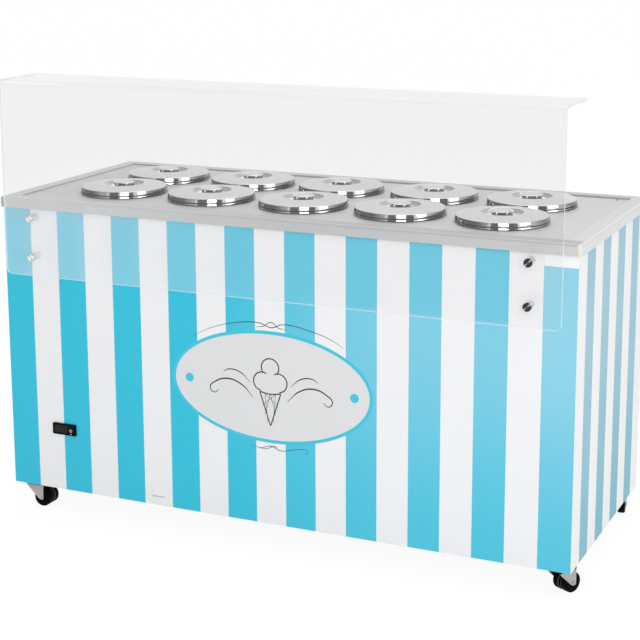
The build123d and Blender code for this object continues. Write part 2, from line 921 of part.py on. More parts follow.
save("compressor_feet", *[make_compressor_foot(x, y) for x, y in compressor_feet_places()])
save("condenser", make_condenser())
save("fan_shroud", make_fan_shroud())
save("fan_motor", make_fan_motor())
save("fan_rotor", make_fan_rotor())
save("refrigerant_lines", *make_refrigerant_lines())
save("rear_grille", make_rear_grille())
grille_seat = rear_face + grille_thickness
save(
    "rear_screws",
    *[rear_screw(x, rear_face, z) for x, z in rear_screw_places()],
    *[rear_screw(x, grille_seat, z) for x, z in grille_screw_places()],
)
save("power_inlet", make_power_inlet())
save("electrical_box", make_electrical_box())
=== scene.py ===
import json
import math

import bmesh
import bpy
from mathutils import Matrix, Vector


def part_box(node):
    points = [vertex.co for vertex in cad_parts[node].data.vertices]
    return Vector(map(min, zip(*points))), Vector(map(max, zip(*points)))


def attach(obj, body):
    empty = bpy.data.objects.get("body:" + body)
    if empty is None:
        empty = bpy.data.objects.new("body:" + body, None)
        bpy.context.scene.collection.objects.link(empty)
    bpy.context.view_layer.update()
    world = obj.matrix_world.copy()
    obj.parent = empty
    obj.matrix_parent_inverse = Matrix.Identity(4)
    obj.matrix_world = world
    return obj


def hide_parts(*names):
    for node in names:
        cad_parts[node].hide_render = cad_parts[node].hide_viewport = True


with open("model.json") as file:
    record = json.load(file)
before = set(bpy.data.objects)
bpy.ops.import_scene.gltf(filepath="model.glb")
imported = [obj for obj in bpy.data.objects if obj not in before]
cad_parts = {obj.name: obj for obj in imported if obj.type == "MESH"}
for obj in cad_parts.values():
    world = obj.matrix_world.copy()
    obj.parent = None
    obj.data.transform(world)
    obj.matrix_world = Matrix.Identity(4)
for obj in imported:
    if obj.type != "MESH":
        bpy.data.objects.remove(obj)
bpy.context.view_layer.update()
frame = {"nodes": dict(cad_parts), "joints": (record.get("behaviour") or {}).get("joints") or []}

mm = 0.001
rimRise = 4 * mm  # the worktop's rim above its deck
grainSpan = (0.25, 0.75)  # where most of a noise lies
fineDetail = 3.0
fineShare = 0.6
joints = {joint["name"]: joint for joint in frame["joints"]}
print("frame loaded:", len(frame["nodes"]), "nodes")

# levels and faces that the pieces share
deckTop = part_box("worktop")[1].z - rimRise
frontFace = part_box("front_panel")[0].y
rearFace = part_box("rear_panel")[1].y
panelLow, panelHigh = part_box("front_panel")
middleY = (frontFace + rearFace) / 2


# one shader value; arithmetic on it adds Math nodes
class Tone:
    def __init__(self, shader, socket):
        self.shader = shader
        self.socket = socket

    def out(self, name):
        return Tone(self.shader, self.socket.node.outputs[name])

    def math(self, operation, *values):
        return self.shader.node("ShaderNodeMath", {"operation": operation}, dict(enumerate(values)))

    def __add__(self, other):
        return self.math("ADD", self, other)

    def __sub__(self, other):
        return self.math("SUBTRACT", self, other)

    def __rsub__(self, other):
        return self.math("SUBTRACT", other, self)

    def __mul__(self, other):
        return self.math("MULTIPLY", self, other)

    def __truediv__(self, other):
        return self.math("DIVIDE", self, other)

    def __mod__(self, other):
        return self.math("FLOORED_MODULO", self, other)

    def __pow__(self, other):
        return self.math("POWER", self, other)

    def __lt__(self, other):
        return self.math("LESS_THAN", self, other)

    def __gt__(self, other):
        return self.math("GREATER_THAN", self, other)

    def __abs__(self):
        return self.math("ABSOLUTE", self)

    def root(self):
        return self.math("SQRT", self)

    __radd__ = __add__
    __rmul__ = __mul__


class Shader:
    def __init__(self, name, tree=None):
        self.material = None
        if tree is None:
            self.material = bpy.data.materials.new(name)
            self.material.use_nodes = True
            tree = self.material.node_tree
        self.tree = tree
        self.tree.nodes.clear()

    def node(self, kind, settings=None, sockets=None, output=0):
        item = self.tree.nodes.new(kind)
        for key, value in (settings or {}).items():
            setattr(item, key, value)
        for key, value in (sockets or {}).items():
            if isinstance(value, Tone):
                self.tree.links.new(value.socket, item.inputs[key])
            else:
                item.inputs[key].default_value = value
        return Tone(self, item.outputs[output]) if item.outputs else None

    def coords(self):
        return self.node("ShaderNodeTexCoord", None, None, "Object")

    def place(self):
        split = self.node("ShaderNodeSeparateXYZ", None, {0: self.coords()})
        return split, split.out("Y"), split.out("Z")

    def joinedPlace(self, x, y, z):
        return self.node("ShaderNodeCombineXYZ", None, {0: x, 1: y, 2: z})

    # noise with one scale, or one for each axis
    def grain(self, scale, detail=2.0, vector=None):
        scales = scale if isinstance(scale, tuple) else even(scale)
        where = {"Vector": vector or self.coords(), "Scale": scales}
        stretched = self.node("ShaderNodeMapping", None, where)
        return self.node("ShaderNodeTexNoise", None, {"Vector": stretched, "Scale": 1.0, "Detail": detail})

    def ramp(self, value, low, high, start=0.0, end=1.0):
        limits = {"Value": value, "From Min": low, "From Max": high, "To Min": start, "To Max": end}
        return self.node("ShaderNodeMapRange", {"interpolation_type": "SMOOTHSTEP"}, limits)

    def blend(self, factor, first, second):
        ends = [colour if isinstance(colour, Tone) else (*colour, 1) for colour in (first, second)]
        return self.node("ShaderNodeMix", {"data_type": "RGBA"}, {0: factor, 6: ends[0], 7: ends[1]}, 2)

    def bump(self, height, distance):
        relief = {"Strength": 1.0, "Distance": distance, "Height": height}
        return self.node("ShaderNodeBump", None, relief)

    def mixed(self, share, first, second):
        return self.node("ShaderNodeMixShader", None, {0: share, 1: first, 2: second})

    def surface(self, sockets):
        coat = self.node("ShaderNodeBsdfPrincipled", None, sockets)
        self.node("ShaderNodeOutputMaterial", None, {"Surface": coat})
        return self.material

    # a surface whose gloss follows one grain and whose relief follows another
    def worked(self, colour, grain, relief, look, more=None):
        return self.surface({
            "Base Color": colour,
            "Roughness": self.ramp(grain, *grainSpan, *look["rough"]),
            "Normal": self.bump(relief, look["depth"]),
            **(more or {}),
        })


# a finish whose colour, gloss and relief follow one fine and one broad grain
def grainFinish(name, look):
    shader = Shader(name)
    fine = shader.grain(look["fine"], fineDetail)
    tone = fine * fineShare + shader.grain(look["broad"]) * (1 - fineShare)
    return shader.worked(shader.blend(tone, look["dark"], look["light"]), tone, fine, look, {
        "Metallic": look.get("metal", 0.0),
        "Coat Weight": look.get("coat", 0.0),
        "Specular IOR Level": look.get("gloss", 0.5),
    })


def even(value):
    return (value, value, value)


finishLooks = {
    "tubSteel": {
        "dark": (0.55, 0.55, 0.555), "light": (0.7, 0.7, 0.7), "rough": (0.22, 0.36), "metal": 1.0,
        "fine": (25, 25, 900), "broad": 6, "depth": 0.00002,
    },
    "polishedSteel": {
        "dark": (0.7, 0.7, 0.705), "light": (0.8, 0.8, 0.8), "rough": (0.05, 0.11), "metal": 1.0,
        "fine": (40, 40, 1400), "broad": 9, "depth": 0.000003,
    },
    # near-black steel for the lid's groove, a painted shade in the crease
    "grooveShadeSteel": {
        "dark": (0.03, 0.03, 0.031), "light": (0.08, 0.08, 0.08), "rough": (0.25, 0.4), "metal": 1.0,
        "fine": (60, 60, 900), "broad": 20, "depth": 0.00001,
    },
    "turnedSteel": {
        "dark": (0.66, 0.66, 0.665), "light": (0.88, 0.88, 0.88), "rough": (0.3, 0.45), "metal": 1.0,
        "fine": (900, 900, 60), "broad": 40, "depth": 0.00001,
    },
    "galvanised": {
        "dark": (0.42, 0.43, 0.44), "light": (0.62, 0.63, 0.64), "rough": (0.35, 0.55), "metal": 1.0,
        "fine": 90, "broad": 14, "depth": 0.00003,
    },
    "zinc": {
        "dark": (0.34, 0.335, 0.315), "light": (0.56, 0.55, 0.52), "rough": (0.28, 0.45), "metal": 1.0,
        "fine": 500, "broad": 60, "depth": 0.00002,
    },
    "copper": {
        "dark": (0.5, 0.22, 0.12), "light": (0.78, 0.42, 0.26), "rough": (0.2, 0.4), "metal": 1.0,
        "fine": 300, "broad": 18, "depth": 0.00002,
    },
    "finAluminium": {
        "dark": (0.6, 0.61, 0.62), "light": (0.78, 0.79, 0.8), "rough": (0.3, 0.5), "metal": 1.0,
        "fine": (300, 300, 40), "broad": 20, "depth": 0.00003,
    },
    "machineEnamel": {
        "dark": (0.012, 0.012, 0.013), "light": (0.03, 0.03, 0.033), "rough": (0.3, 0.5), "coat": 0.3,
        "fine": 260, "broad": 12, "depth": 0.00005,
    },
    "whitePaint": {
        "dark": (0.76, 0.765, 0.77), "light": (0.83, 0.83, 0.835), "rough": (0.32, 0.45), "coat": 0.15,
        "fine": 420, "broad": 3, "depth": 0.00004,
    },
    "whiteMoulding": {
        "dark": (0.79, 0.79, 0.795), "light": (0.85, 0.85, 0.85), "rough": (0.35, 0.5),
        "fine": 1500, "broad": 30, "depth": 0.00002,
    },
    "blackMoulding": {
        "dark": (0.0015, 0.0015, 0.002), "light": (0.004, 0.004, 0.0045), "rough": (0.35, 0.5),
        "gloss": 0.06, "fine": 2200, "broad": 60, "depth": 0.00003,
    },
    "windowGloss": {
        "dark": (0.002, 0.002, 0.003), "light": (0.006, 0.006, 0.007), "rough": (0.06, 0.14), "gloss": 0.15,
        "fine": 900, "broad": 40, "depth": 0.000002,
    },
    "wheelRubber": {
        "dark": (0.0012, 0.0012, 0.0012), "light": (0.004, 0.004, 0.004), "rough": (0.4, 0.62),
        "gloss": 0.03, "fine": 1300, "broad": 90, "depth": 0.00005,
    },
    # lighter rubber for the tread shoulders, a painted highlight
    "paintedHighlightRubber": {
        "dark": (0.03, 0.03, 0.031), "light": (0.07, 0.07, 0.071), "rough": (0.3, 0.5),
        "gloss": 0.4, "fine": 1300, "broad": 90, "depth": 0.00005,
    },
    "cutFoam": {
        "dark": (0.66, 0.56, 0.36), "light": (0.84, 0.76, 0.55), "rough": (0.8, 0.95),
        "fine": 700, "broad": 25, "depth": 0.0003,
    },
    "plaqueFilm": {
        "dark": (0.67, 0.67, 0.675), "light": (0.72, 0.72, 0.725), "rough": (0.3, 0.4), "coat": 0.2,
        "fine": 700, "broad": 5, "depth": 0.00001,
    },
    "labelFilm": {
        "dark": (0.82, 0.82, 0.83), "light": (0.87, 0.87, 0.875), "rough": (0.3, 0.42),
        "fine": 900, "broad": 20, "depth": 0.00001,
    },
    "turquoiseFilm": {
        "dark": (0.03, 0.5, 0.66), "light": (0.04, 0.54, 0.7), "rough": (0.32, 0.42), "coat": 0.1,
        "fine": 700, "broad": 5, "depth": 0.00001,
    },
    "charcoalInk": {
        "dark": (0.012, 0.012, 0.014), "light": (0.03, 0.03, 0.034), "rough": (0.4, 0.55),
        "fine": 900, "broad": 40, "depth": 0.00001,
    },
    "dimSegments": {
        "dark": (0.025, 0.028, 0.027), "light": (0.045, 0.048, 0.045), "rough": (0.3, 0.4), "gloss": 0.2,
        "fine": 1500, "broad": 200, "depth": 0.00001,
    },
    "redLens": {
        "dark": (0.16, 0.015, 0.03), "light": (0.28, 0.03, 0.05), "rough": (0.2, 0.3),
        "fine": 1500, "broad": 300, "depth": 0.00001,
    },
}
finishes = {name: grainFinish(name, look) for name, look in finishLooks.items()}

worktopLook = {
    "dark": (0.61, 0.61, 0.612), "light": (0.71, 0.71, 0.712), "rough": (0.42, 0.55), "fine": (6, 900, 900),
    "broad": (1.5, 4, 4), "depth": 0.00002, "dull": 0.3, "shade": 0.16, "rim": 42 * mm, "rimShade": 0.1,
    "frontLip": (0.7, 0.7, 0.705), "frontLipPaintedLight": (0.79, 0.79, 0.795), "rightLipPaintedLight": (0.84, 0.84, 0.845),
    "rimEase": 2 * mm, "lip": (8 * mm, 1 * mm), "rightEnd": (9 * mm, 1 * mm), "nose": 9 * mm,
    "corner": 15 * mm, "noseMetal": 0.2, "frontNosePaintedShade": (0.52, 0.52, 0.525), "frontFade": (0.3, 0.7),
    "rightNosePaintedLight": (0.7, 0.7, 0.705), "rightFade": (0.1, 0.4),
}


# brushed sheet: a deck and a front rim with painted shade to the right, a duller lip with painted light, and
# a less metallic nose in flat painted tones
def worktopFinish(name, look):
    shader = Shader(name)
    low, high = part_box("worktop")
    x, y, z = shader.place()

    def near(distance, reach):
        share = 1.0 - distance / reach
        return share.math("MAXIMUM", share, 0.0)

    fromTop = near(high.z - z, look["nose"])
    corner = near(high.x - x, look["corner"]) * near(y - low.y, look["corner"])
    rightEdge = near(high.x - x, look["nose"]) * fromTop
    frontNosePaintedShade = shader.ramp(near(y - low.y, look["nose"]) * fromTop, *look["frontFade"])
    rightNosePaintedLight = shader.ramp(rightEdge.math("MAXIMUM", rightEdge, corner), *look["rightFade"])
    nose = frontNosePaintedShade.math("MAXIMUM", frontNosePaintedShade, rightNosePaintedLight)
    fine = shader.grain(look["fine"], fineDetail)
    tone = fine * fineShare + shader.grain(look["broad"]) * (1 - fineShare)
    along = shader.ramp(x, low.x, high.x)
    rimEnds = (look["rim"], look["rim"] + look["rimEase"])
    rim = shader.ramp(y - low.y, *rimEnds, 1.0, 0.0) * shader.ramp(x, low.x, 0.0)
    rightRim = shader.ramp(high.x - x, *rimEnds, 1.0, 0.0) * (1 - rim)
    brushed = shader.blend(tone, look["dark"], look["light"])
    # painted shade: the deck darkens to the right and the front rim more, while the right rim is spared
    shade = along * (1 - rightRim) * look["shade"] + rim * look["rimShade"]
    plain = shader.blend(shade, brushed, even(0))
    # painted light: the lip's front lightens to the right, and its right end is lighter still
    front = shader.blend(along, look["frontLip"], look["frontLipPaintedLight"])
    right = shader.ramp(x, *(high.x - reach for reach in look["rightEnd"]))
    folded = shader.blend(right, front, look["rightLipPaintedLight"])
    lip = shader.ramp(z, *(high.z - drop for drop in look["lip"]), 1.0, 0.0)
    # painted tones on the nose: painted shade on the front nose, painted light round the right corner
    paintedNoseTone = shader.blend(rightNosePaintedLight, look["frontNosePaintedShade"], look["rightNosePaintedLight"])
    return shader.surface({
        "Base Color": shader.blend(nose, shader.blend(lip, plain, folded), paintedNoseTone),
        "Roughness": shader.ramp(tone, *grainSpan, *look["rough"]) + lip * look["dull"],
        "Normal": shader.bump(fine, look["depth"]),
        "Metallic": 1.0 - nose * (1 - look["noseMetal"]),
    })


deckSteel = worktopFinish("deckSteel", worktopLook)

stripeLook = {
    "turquoise": (0.025, 0.49, 0.67), "turquoiseWorn": (0.035, 0.52, 0.7),
    "white": (0.80, 0.80, 0.815), "whiteWorn": (0.84, 0.84, 0.85),
    "paintedSheen": (0.87, 0.84, 0.88), "paintedSheenAlong": (0.3, 0.5), "paintedSheenUp": (0.1, 0.68), "gloss": 0.3,
    "rough": (0.3, 0.4), "wear": 4, "wearSpan": (0.3, 0.7), "peel": 420, "peelDepth": 0.00003,
    "edge": 0.3 * mm, "last": 0.35, "lastAlong": (0.84, 0.9), "behindGuard": 0.45, "guardEase": 2 * mm,
    "guardEnd": (80 * mm, 50 * mm),
}


# printed wrap: equal upright stripes along one axis between two ends, with a painted sheen that pales the
# turquoise upwards and along X
def stripeFinish(name, axis, low, high, count, turquoiseFirst, depth, paintedSheenRise):
    shader = Shader(name)
    place = shader.place()
    along = place[axis]
    pitch = (high - low) / count
    phase = ((along - low) / (2 * pitch)) % 1.0
    whiteMask = phase > 0.5 if turquoiseFirst else phase < 0.5
    beyond = abs(along - (low + high) / 2) > (high - low) / 2 - stripeLook["edge"]  # cut ends stay white
    whiteMask = whiteMask.math("MAXIMUM", whiteMask, beyond)
    broad = shader.grain(stripeLook["wear"])
    peel = shader.grain(stripeLook["peel"], fineDetail)
    # a depth below 1 darkens the turquoise, a painted shade on the side panels
    fresh = [channel * depth for channel in stripeLook["turquoise"]]
    worn = [channel * depth for channel in stripeLook["turquoiseWorn"]]
    turquoise = shader.blend(broad, fresh, worn)
    paintedSheenFrom, paintedSheenTo = stripeLook["paintedSheenAlong"]
    # painted sheen: the turquoise pales to the right and upwards
    rightwards = shader.ramp(place[0], panelLow.x * paintedSheenFrom, panelHigh.x * paintedSheenTo)
    paintedSheen = rightwards * shader.ramp(place[2], *stripeLook["paintedSheenUp"], *paintedSheenRise)
    if axis == 0:  # the painted sheen is stronger on the last stripe and weaker behind the guard
        last = shader.ramp(place[0], *(panelHigh.x * share for share in stripeLook["lastAlong"]))
        paintedSheen = paintedSheen * (1 + last * stripeLook["last"])
        guardLow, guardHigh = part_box("sneeze_guard")
        ease = stripeLook["guardEase"]
        above = shader.ramp(place[2], guardLow.z - ease, guardLow.z + ease)
        guardEnds = (guardHigh.x - inwards for inwards in stripeLook["guardEnd"])
        paintedSheen = paintedSheen * (1 - above * shader.ramp(place[0], *guardEnds, 1.0, 0.0) * stripeLook["behindGuard"])
    turquoise = shader.blend(paintedSheen, turquoise, stripeLook["paintedSheen"])
    white = shader.blend(broad, stripeLook["white"], stripeLook["whiteWorn"])
    return shader.surface({
        "Base Color": shader.blend(whiteMask, turquoise, white),
        "Roughness": shader.ramp(broad, *stripeLook["wearSpan"], *stripeLook["rough"]),
        "Normal": shader.bump(peel, stripeLook["peelDepth"]),
        "Specular IOR Level": stripeLook["gloss"],
    })


frontStripes = stripeFinish(
    "frontStripes", 0, panelLow.x, panelHigh.x, count=19, turquoiseFirst=True, depth=1.0, paintedSheenRise=(0.05, 0.2),
)
# the sides take a darker copy of the turquoise, a painted shade
sideStripes = stripeFinish(
    "sideStripes", 1, frontFace, rearFace, count=9, turquoiseFirst=False, depth=0.72, paintedSheenRise=(0.14, 0.28),
)

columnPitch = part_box("lid_2")[0].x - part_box("lid_1")[0].x
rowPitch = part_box("lid_6")[0].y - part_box("lid_1")[0].y


# place of a shaded point across, behind and above the middle of its own lid, and its distance from there
def lidPlace(shader):
    x, y, z = shader.place()
    localX = (x + columnPitch / 2) % columnPitch - columnPitch / 2
    localY = (y - middleY) % rowPitch - rowPitch / 2
    return localX, localY, z - deckTop, (localX * localX + localY * localY).root()


lidLook = {
    "ringScale": 1500, "rise": 40, "broad": 7, "fineShare": 0.55, "dark": (0.63, 0.63, 0.635),
    "light": (0.76, 0.76, 0.765), "rough": (0.28, 0.38), "depth": 0.000012, "dish": (0.98, 0.98, 0.98),
    "dishFrom": (52 * mm, 54 * mm), "dishLow": 24 * mm,
}


# lathe-turned steel: fine rings about the middle of each lid, and a dish painted brighter, a painted light
# in its recess
def ringFinish(name, look):
    shader = Shader(name)
    height, radius = lidPlace(shader)[2:]
    ring = shader.joinedPlace(radius * look["ringScale"], height * look["rise"], 0.0)
    fine = shader.grain(1, vector=ring)
    tone = fine * look["fineShare"] + shader.grain(look["broad"]) * (1 - look["fineShare"])
    sheet = shader.blend(tone, look["dark"], look["light"])
    # painted light: the dish is lighter than the sheet
    paintedLightInDish = shader.ramp(radius, *look["dishFrom"], 1.0, 0.0) * (height < look["dishLow"])
    return shader.worked(shader.blend(paintedLightInDish, sheet, look["dish"]), tone, fine, look, {"Metallic": 1.0})


lidSteel = ringFinish("lidSteel", lidLook)

bandLook = {
    "paintedHighlight": (0.8, 0.8, 0.805), "flankShade": (0.32, 0.32, 0.325), "foot": (0.08, 0.08, 0.085),
    "footShadowTall": (1.3 * mm, 2.6 * mm), "rightwards": (0.94, 0.35), "flank": (0.55, 0.88),
    "leftFlank": (0.3, 0.6), "leftFlankShade": (0.2, 0.2, 0.205), "streak": (9, 9, 900), "uneven": 0.25,
    "rough": (0.05, 0.11), "depth": 0.000003,
}


# polished skirt of a lid with painted reflections: bright where it faces the room, darker round its flanks,
# a painted shadow at its foot
def bandFinish(name, look):
    shader = Shader(name)
    localX, localY, height, radius = lidPlace(shader)
    rightwards = (localX * look["rightwards"][0] + localY * look["rightwards"][1]) / radius
    acrossScale, backScale, riseScale = look["streak"]
    around = shader.joinedPlace(localX * acrossScale, localY * backScale, height * riseScale)
    streak = shader.grain(1, vector=around)
    uneven = (streak - 0.5) * look["uneven"]
    flank = shader.ramp(rightwards + uneven, *look["flank"])
    leftFlank = shader.ramp(uneven - rightwards, *look["leftFlank"])
    sheet = shader.blend(leftFlank, shader.blend(flank, look["paintedHighlight"], look["flankShade"]), look["leftFlankShade"])
    foot = shader.ramp(height, *look["footShadowTall"], 1.0, 0.0)
    return shader.worked(shader.blend(foot, sheet, look["foot"]), streak, streak, look, {"Metallic": 1.0})


bandSteel = bandFinish("bandSteel", bandLook)

knobLook = {
    "dark": (0.09, 0.09, 0.093), "light": (0.82, 0.82, 0.82), "rough": (0.1, 0.22), "tooth": 150,
    "low": 13 * mm, "tall": 15 * mm, "rise": 0.2, "toothShare": 2.4, "levelShare": 0.8,
    "clear": (1.96, 2.12), "depth": 0.00001,
}


# the flared side of a knob: painted dark reflections at its foot that clear upwards between uneven teeth
def knobFinish(name, look):
    shader = Shader(name)
    localX, localY, height = lidPlace(shader)[:3]
    around = shader.joinedPlace(localX, localY, height * look["rise"])
    tooth = shader.grain(look["tooth"], fineDetail, around)
    level = (height - look["low"]) / look["tall"]
    clear = shader.ramp(tooth * look["toothShare"] + level * look["levelShare"], *look["clear"])
    colour = shader.blend(clear, look["dark"], look["light"])
    return shader.worked(colour, tooth, tooth, look, {"Metallic": 1.0})


knobSteel = knobFinish("knobSteel", knobLook)

standoff = {
    "seat": 10.5, "barrel": 8.8, "neck": 0.6, "cap": 10.7, "capThick": 7.0, "capEdge": 1.4,
    "move": (-4.6, -3.4), "ring": 3.0, "ringWide": 1.4, "ringSlope": 0.4, "ease": 0.2, "capBack": 0.4,
    "steps": 48, "capSteps": 64,
}
capLook = {
    "dark": (0.05, 0.05, 0.055), "light": (0.85, 0.85, 0.86), "rough": (0.18, 0.3), "ringScale": 2600,
    "depth": 0.00001, "wedge": 1.6, "wedgeFrom": (-0.9, 0.82), "wedgeEase": 0.3, "wedgeLight": (0.7, 0.5),
    "lift": 0.7,
}


# a faced-off screw cap: fine rings, and two bright wedges of painted reflection that run out from its middle
def capFinish(name, look):
    shader = Shader(name)
    low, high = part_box("standoff_caps")
    seat = standoff["seat"] * mm
    x, z = shader.place()[::2]

    def fromSeat(value, start, end, move):
        second = value > (start + end) / 2
        return value - (start + seat + move * mm) - second * (end - start - 2 * seat)

    localX = fromSeat(x, low.x, high.x, standoff["move"][0])
    localZ = fromSeat(z, low.z, high.z, standoff["move"][1])
    distance = (localX * localX + localZ * localZ).root()
    fine = shader.grain(1, vector=shader.joinedPlace(distance * look["ringScale"], 0.0, 0.0))
    angle = localX.math("ARCTAN2", localX, localZ)
    lean = angle * 2.0 - look["wedge"]
    wedge = lean.math("COSINE", lean)
    start = shader.ramp(x, low.x, high.x, *look["wedgeFrom"])  # wider painted wedges on the left pair
    least, ringed = look["wedgeLight"]
    plain = shader.ramp(wedge - start, 0.0, look["wedgeEase"]) * (least + fine * ringed)
    # painted reflection: the left pair is lifted lighter
    tone = plain.math("MAXIMUM", plain, shader.ramp(x, low.x, high.x, look["lift"], 0.0))
    colour = shader.blend(tone, look["dark"], look["light"])
    return shader.worked(colour, fine, fine, look, {"Metallic": 1.0})


capSteel = capFinish("capSteel", capLook)

blindLook = {
    "dark": (0.79, 0.79, 0.795), "light": (0.85, 0.85, 0.85), "shadow": (0.3, 0.3, 0.31),
    "paintedShadowLine": (1.56 * mm, 2.6 * mm), "rough": (0.35, 0.5), "fine": 1500, "depth": 0.00002,
}


# white plate with a painted shadow line along its lower edge
def blindFinish(name, look):
    shader = Shader(name)
    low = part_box("blind_plate")[0]
    fine = shader.grain(look["fine"], fineDetail)
    paintedShadowLine = shader.ramp(shader.place()[2] - low.z, *look["paintedShadowLine"], 1.0, 0.0)
    plain = shader.blend(fine, look["dark"], look["light"])
    return shader.worked(shader.blend(paintedShadowLine, plain, look["shadow"]), fine, fine, look)


blindMoulding = blindFinish("blindMoulding", blindLook)

lensLook = {
    "middle": (0.03, 0.022, 0.018), "ring": (0.36, 0.25, 0.16), "ringFrom": (0.25, 0.5),
    "rim": (0.1, 0.07, 0.05), "rimFrom": (0.75, 0.95), "rough": (0.25, 0.4), "speck": 1200,
    "speckSpan": (0.3, 0.7),
}


# a round lens: dark middle, light ring, darker rim
def lensFinish(name, look):
    shader = Shader(name)
    low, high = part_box("thermostat_button")
    x, z = shader.place()[::2]
    across, up = x - (low.x + high.x) / 2, z - (low.z + high.z) / 2
    share = (across * across + up * up).root() / ((high.z - low.z) / 2)
    inner = shader.blend(shader.ramp(share, *look["ringFrom"]), look["middle"], look["ring"])
    speck = shader.grain(look["speck"])
    return shader.surface({
        "Base Color": shader.blend(shader.ramp(share, *look["rimFrom"]), inner, look["rim"]),
        "Roughness": shader.ramp(speck, *look["speckSpan"], *look["rough"]),
    })


buttonLens = lensFinish("buttonLens", lensLook)

clearLook = {
    "through": (0.9385, 0.9388, 0.939), "throughFoot": (0.985, 0.985, 0.985), "onward": 0.45, "glow": 0.12,
    "milk": (0.98, 0.985, 0.99), "milkAndSheenLow": (0.18, 0.0), "milkHigh": 0.015,
    "rough": 0.06, "mirror": 0.02, "shallow": 0.55, "edge": (0.62, 0.63, 0.635), "edgeMilk": 0.6,
    "edgeLight": (0.95, 0.96, 0.97), "bend": (11.0, 9.0, 6.0, 4.0), "bendEnd": (-0.62, -0.56),
    "footEase": 14 * mm, "milkReach": 0.4, "cloud": 3, "cloudLight": (0.9, 0.2), "sheenPower": 5.0,
}
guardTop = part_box("sneeze_guard")[1].z


# clear sheet: a mirror sheen at shallow angles, a milky foot with painted reflection, a painted highlight on
# the bend
def clearFinish(name, milk, colours):
    shader = Shader(name)
    x, z = shader.place()[::2]
    least, clouded = clearLook["cloudLight"]
    cloud = least + shader.grain(clearLook["cloud"]) * clouded
    foot = shader.ramp(z, panelHigh.z, panelHigh.z + clearLook["footEase"], 1.0, 0.0)
    # the milk is partly haze and partly a painted reflection that thins to the right
    low = shader.ramp(x, panelLow.x, panelHigh.x * clearLook["milkReach"], *milk) * cloud
    cover = low * foot + (1 - foot) * clearLook["milkHigh"] if milk[0] != milk[1] else low
    facing = shader.node("ShaderNodeLayerWeight", None, {"Blend": 0.5}, "Facing")
    sheen = clearLook["mirror"] + (facing ** clearLook["sheenPower"]) * clearLook["shallow"]
    # the body glows faintly in the milk colour, a painted glow
    body = shader.node("ShaderNodeBsdfPrincipled", None, {
        "Base Color": shader.blend(foot, *colours),
        "Roughness": clearLook["rough"],
        "Emission Color": (*clearLook["milk"], 1),
        "Emission Strength": clearLook["glow"],
    })
    upper = shader.node("ShaderNodeBsdfTransparent", None, {"Color": (*clearLook["through"], 1)})
    lower = shader.node("ShaderNodeBsdfTransparent", None, {"Color": (*clearLook["throughFoot"], 1)})
    # painted highlight: a clearer tint along the left end of the bend
    bend = [guardTop - depth * mm for depth in clearLook["bend"]]
    paintedHighlight = shader.ramp(z, bend[0], bend[1]) * shader.ramp(z, bend[2], bend[3], 1.0, 0.0)
    paintedHighlight = paintedHighlight * shader.ramp(x, *clearLook["bendEnd"], 1.0, 0.0)
    clearest = foot.math("MAXIMUM", foot, paintedHighlight)
    through = shader.mixed(clearest, upper, lower)
    onward = shader.node("ShaderNodeBsdfTranslucent", None, {"Color": (*clearLook["milk"], 1)})
    milky = shader.mixed(clearLook["onward"], body, onward)
    path = shader.node("ShaderNodeLightPath")
    lighting = path.math("MAXIMUM", path.out("Is Shadow Ray"), path.out("Is Diffuse Ray"))
    unlit = 1 - lighting  # the light that falls on the panel isn't held back
    covered = shader.mixed(cover * unlit, through, milky)
    mirror = shader.node("ShaderNodeBsdfPrincipled", None, {
        "Base Color": (1, 1, 1, 1), "Metallic": 1.0, "Roughness": clearLook["rough"],
    })
    mixed = shader.mixed(sheen * unlit, covered, mirror)
    shader.node("ShaderNodeOutputMaterial", None, {"Surface": mixed})
    return shader.material


clearSheet = clearFinish("clearSheet", clearLook["milkAndSheenLow"], [clearLook["milk"]] * 2)
edgeMilk = (clearLook["edgeMilk"], clearLook["edgeMilk"])
clearEdge = clearFinish("clearEdge", edgeMilk, [clearLook["edge"], clearLook["edgeLight"]])
print("finishes made:", len(bpy.data.materials))

nodeFinish = {
    "front_panel": frontStripes, "left_panel": sideStripes, "right_panel": sideStripes,
    "rear_panel": "whitePaint", "rear_grille": "whitePaint", "blind_plate": blindMoulding,
    "electrical_box": "whiteMoulding", "worktop": deckSteel, "well_liners": "tubSteel",
    "base_panel": "galvanised", "support_rails": "galvanised", "fan_shroud": "galvanised",
    "insulation": "cutFoam", "evaporator_coil": "copper", "refrigerant_lines": "copper",
    "compressor": "machineEnamel", "fan_motor": "machineEnamel", "fan_rotor": "blackMoulding",
    "compressor_feet": "wheelRubber", "condenser": "finAluminium", "rear_screws": "polishedSteel",
    "power_inlet": "blackMoulding", "thermostat": "blackMoulding", "thermostat_window": "windowGloss",
    "thermostat_button": buttonLens, "caster_plates": "zinc", "caster_bolts": "zinc",
    "standoff_barrels": "polishedSteel", "standoff_caps": "polishedSteel",
}
for number in range(1, 11):
    nodeFinish[f"tub_{number}"] = "tubSteel"
for node, finish in nodeFinish.items():
    for holder in frame["nodes"][node].material_slots:
        holder.material = finishes.get(finish, finish)
print("CAD nodes finished:", len(nodeFinish))


def newPiece(bm, name, materials, body, replaced=(), sharpAngle=35):
    for face in bm.faces:
        face.smooth = True
    for edge in bm.edges:
        edge.smooth = edge.calc_face_angle(0.0) < math.radians(sharpAngle)
    mesh = bpy.data.meshes.new(name)
    bm.to_mesh(mesh)
    bm.free()
    for material in materials:
        mesh.materials.append(material)
    piece = bpy.data.objects.new(name, mesh)
    bpy.context.scene.collection.objects.link(piece)
    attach(piece, body)
    if replaced:
        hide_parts(*replaced)


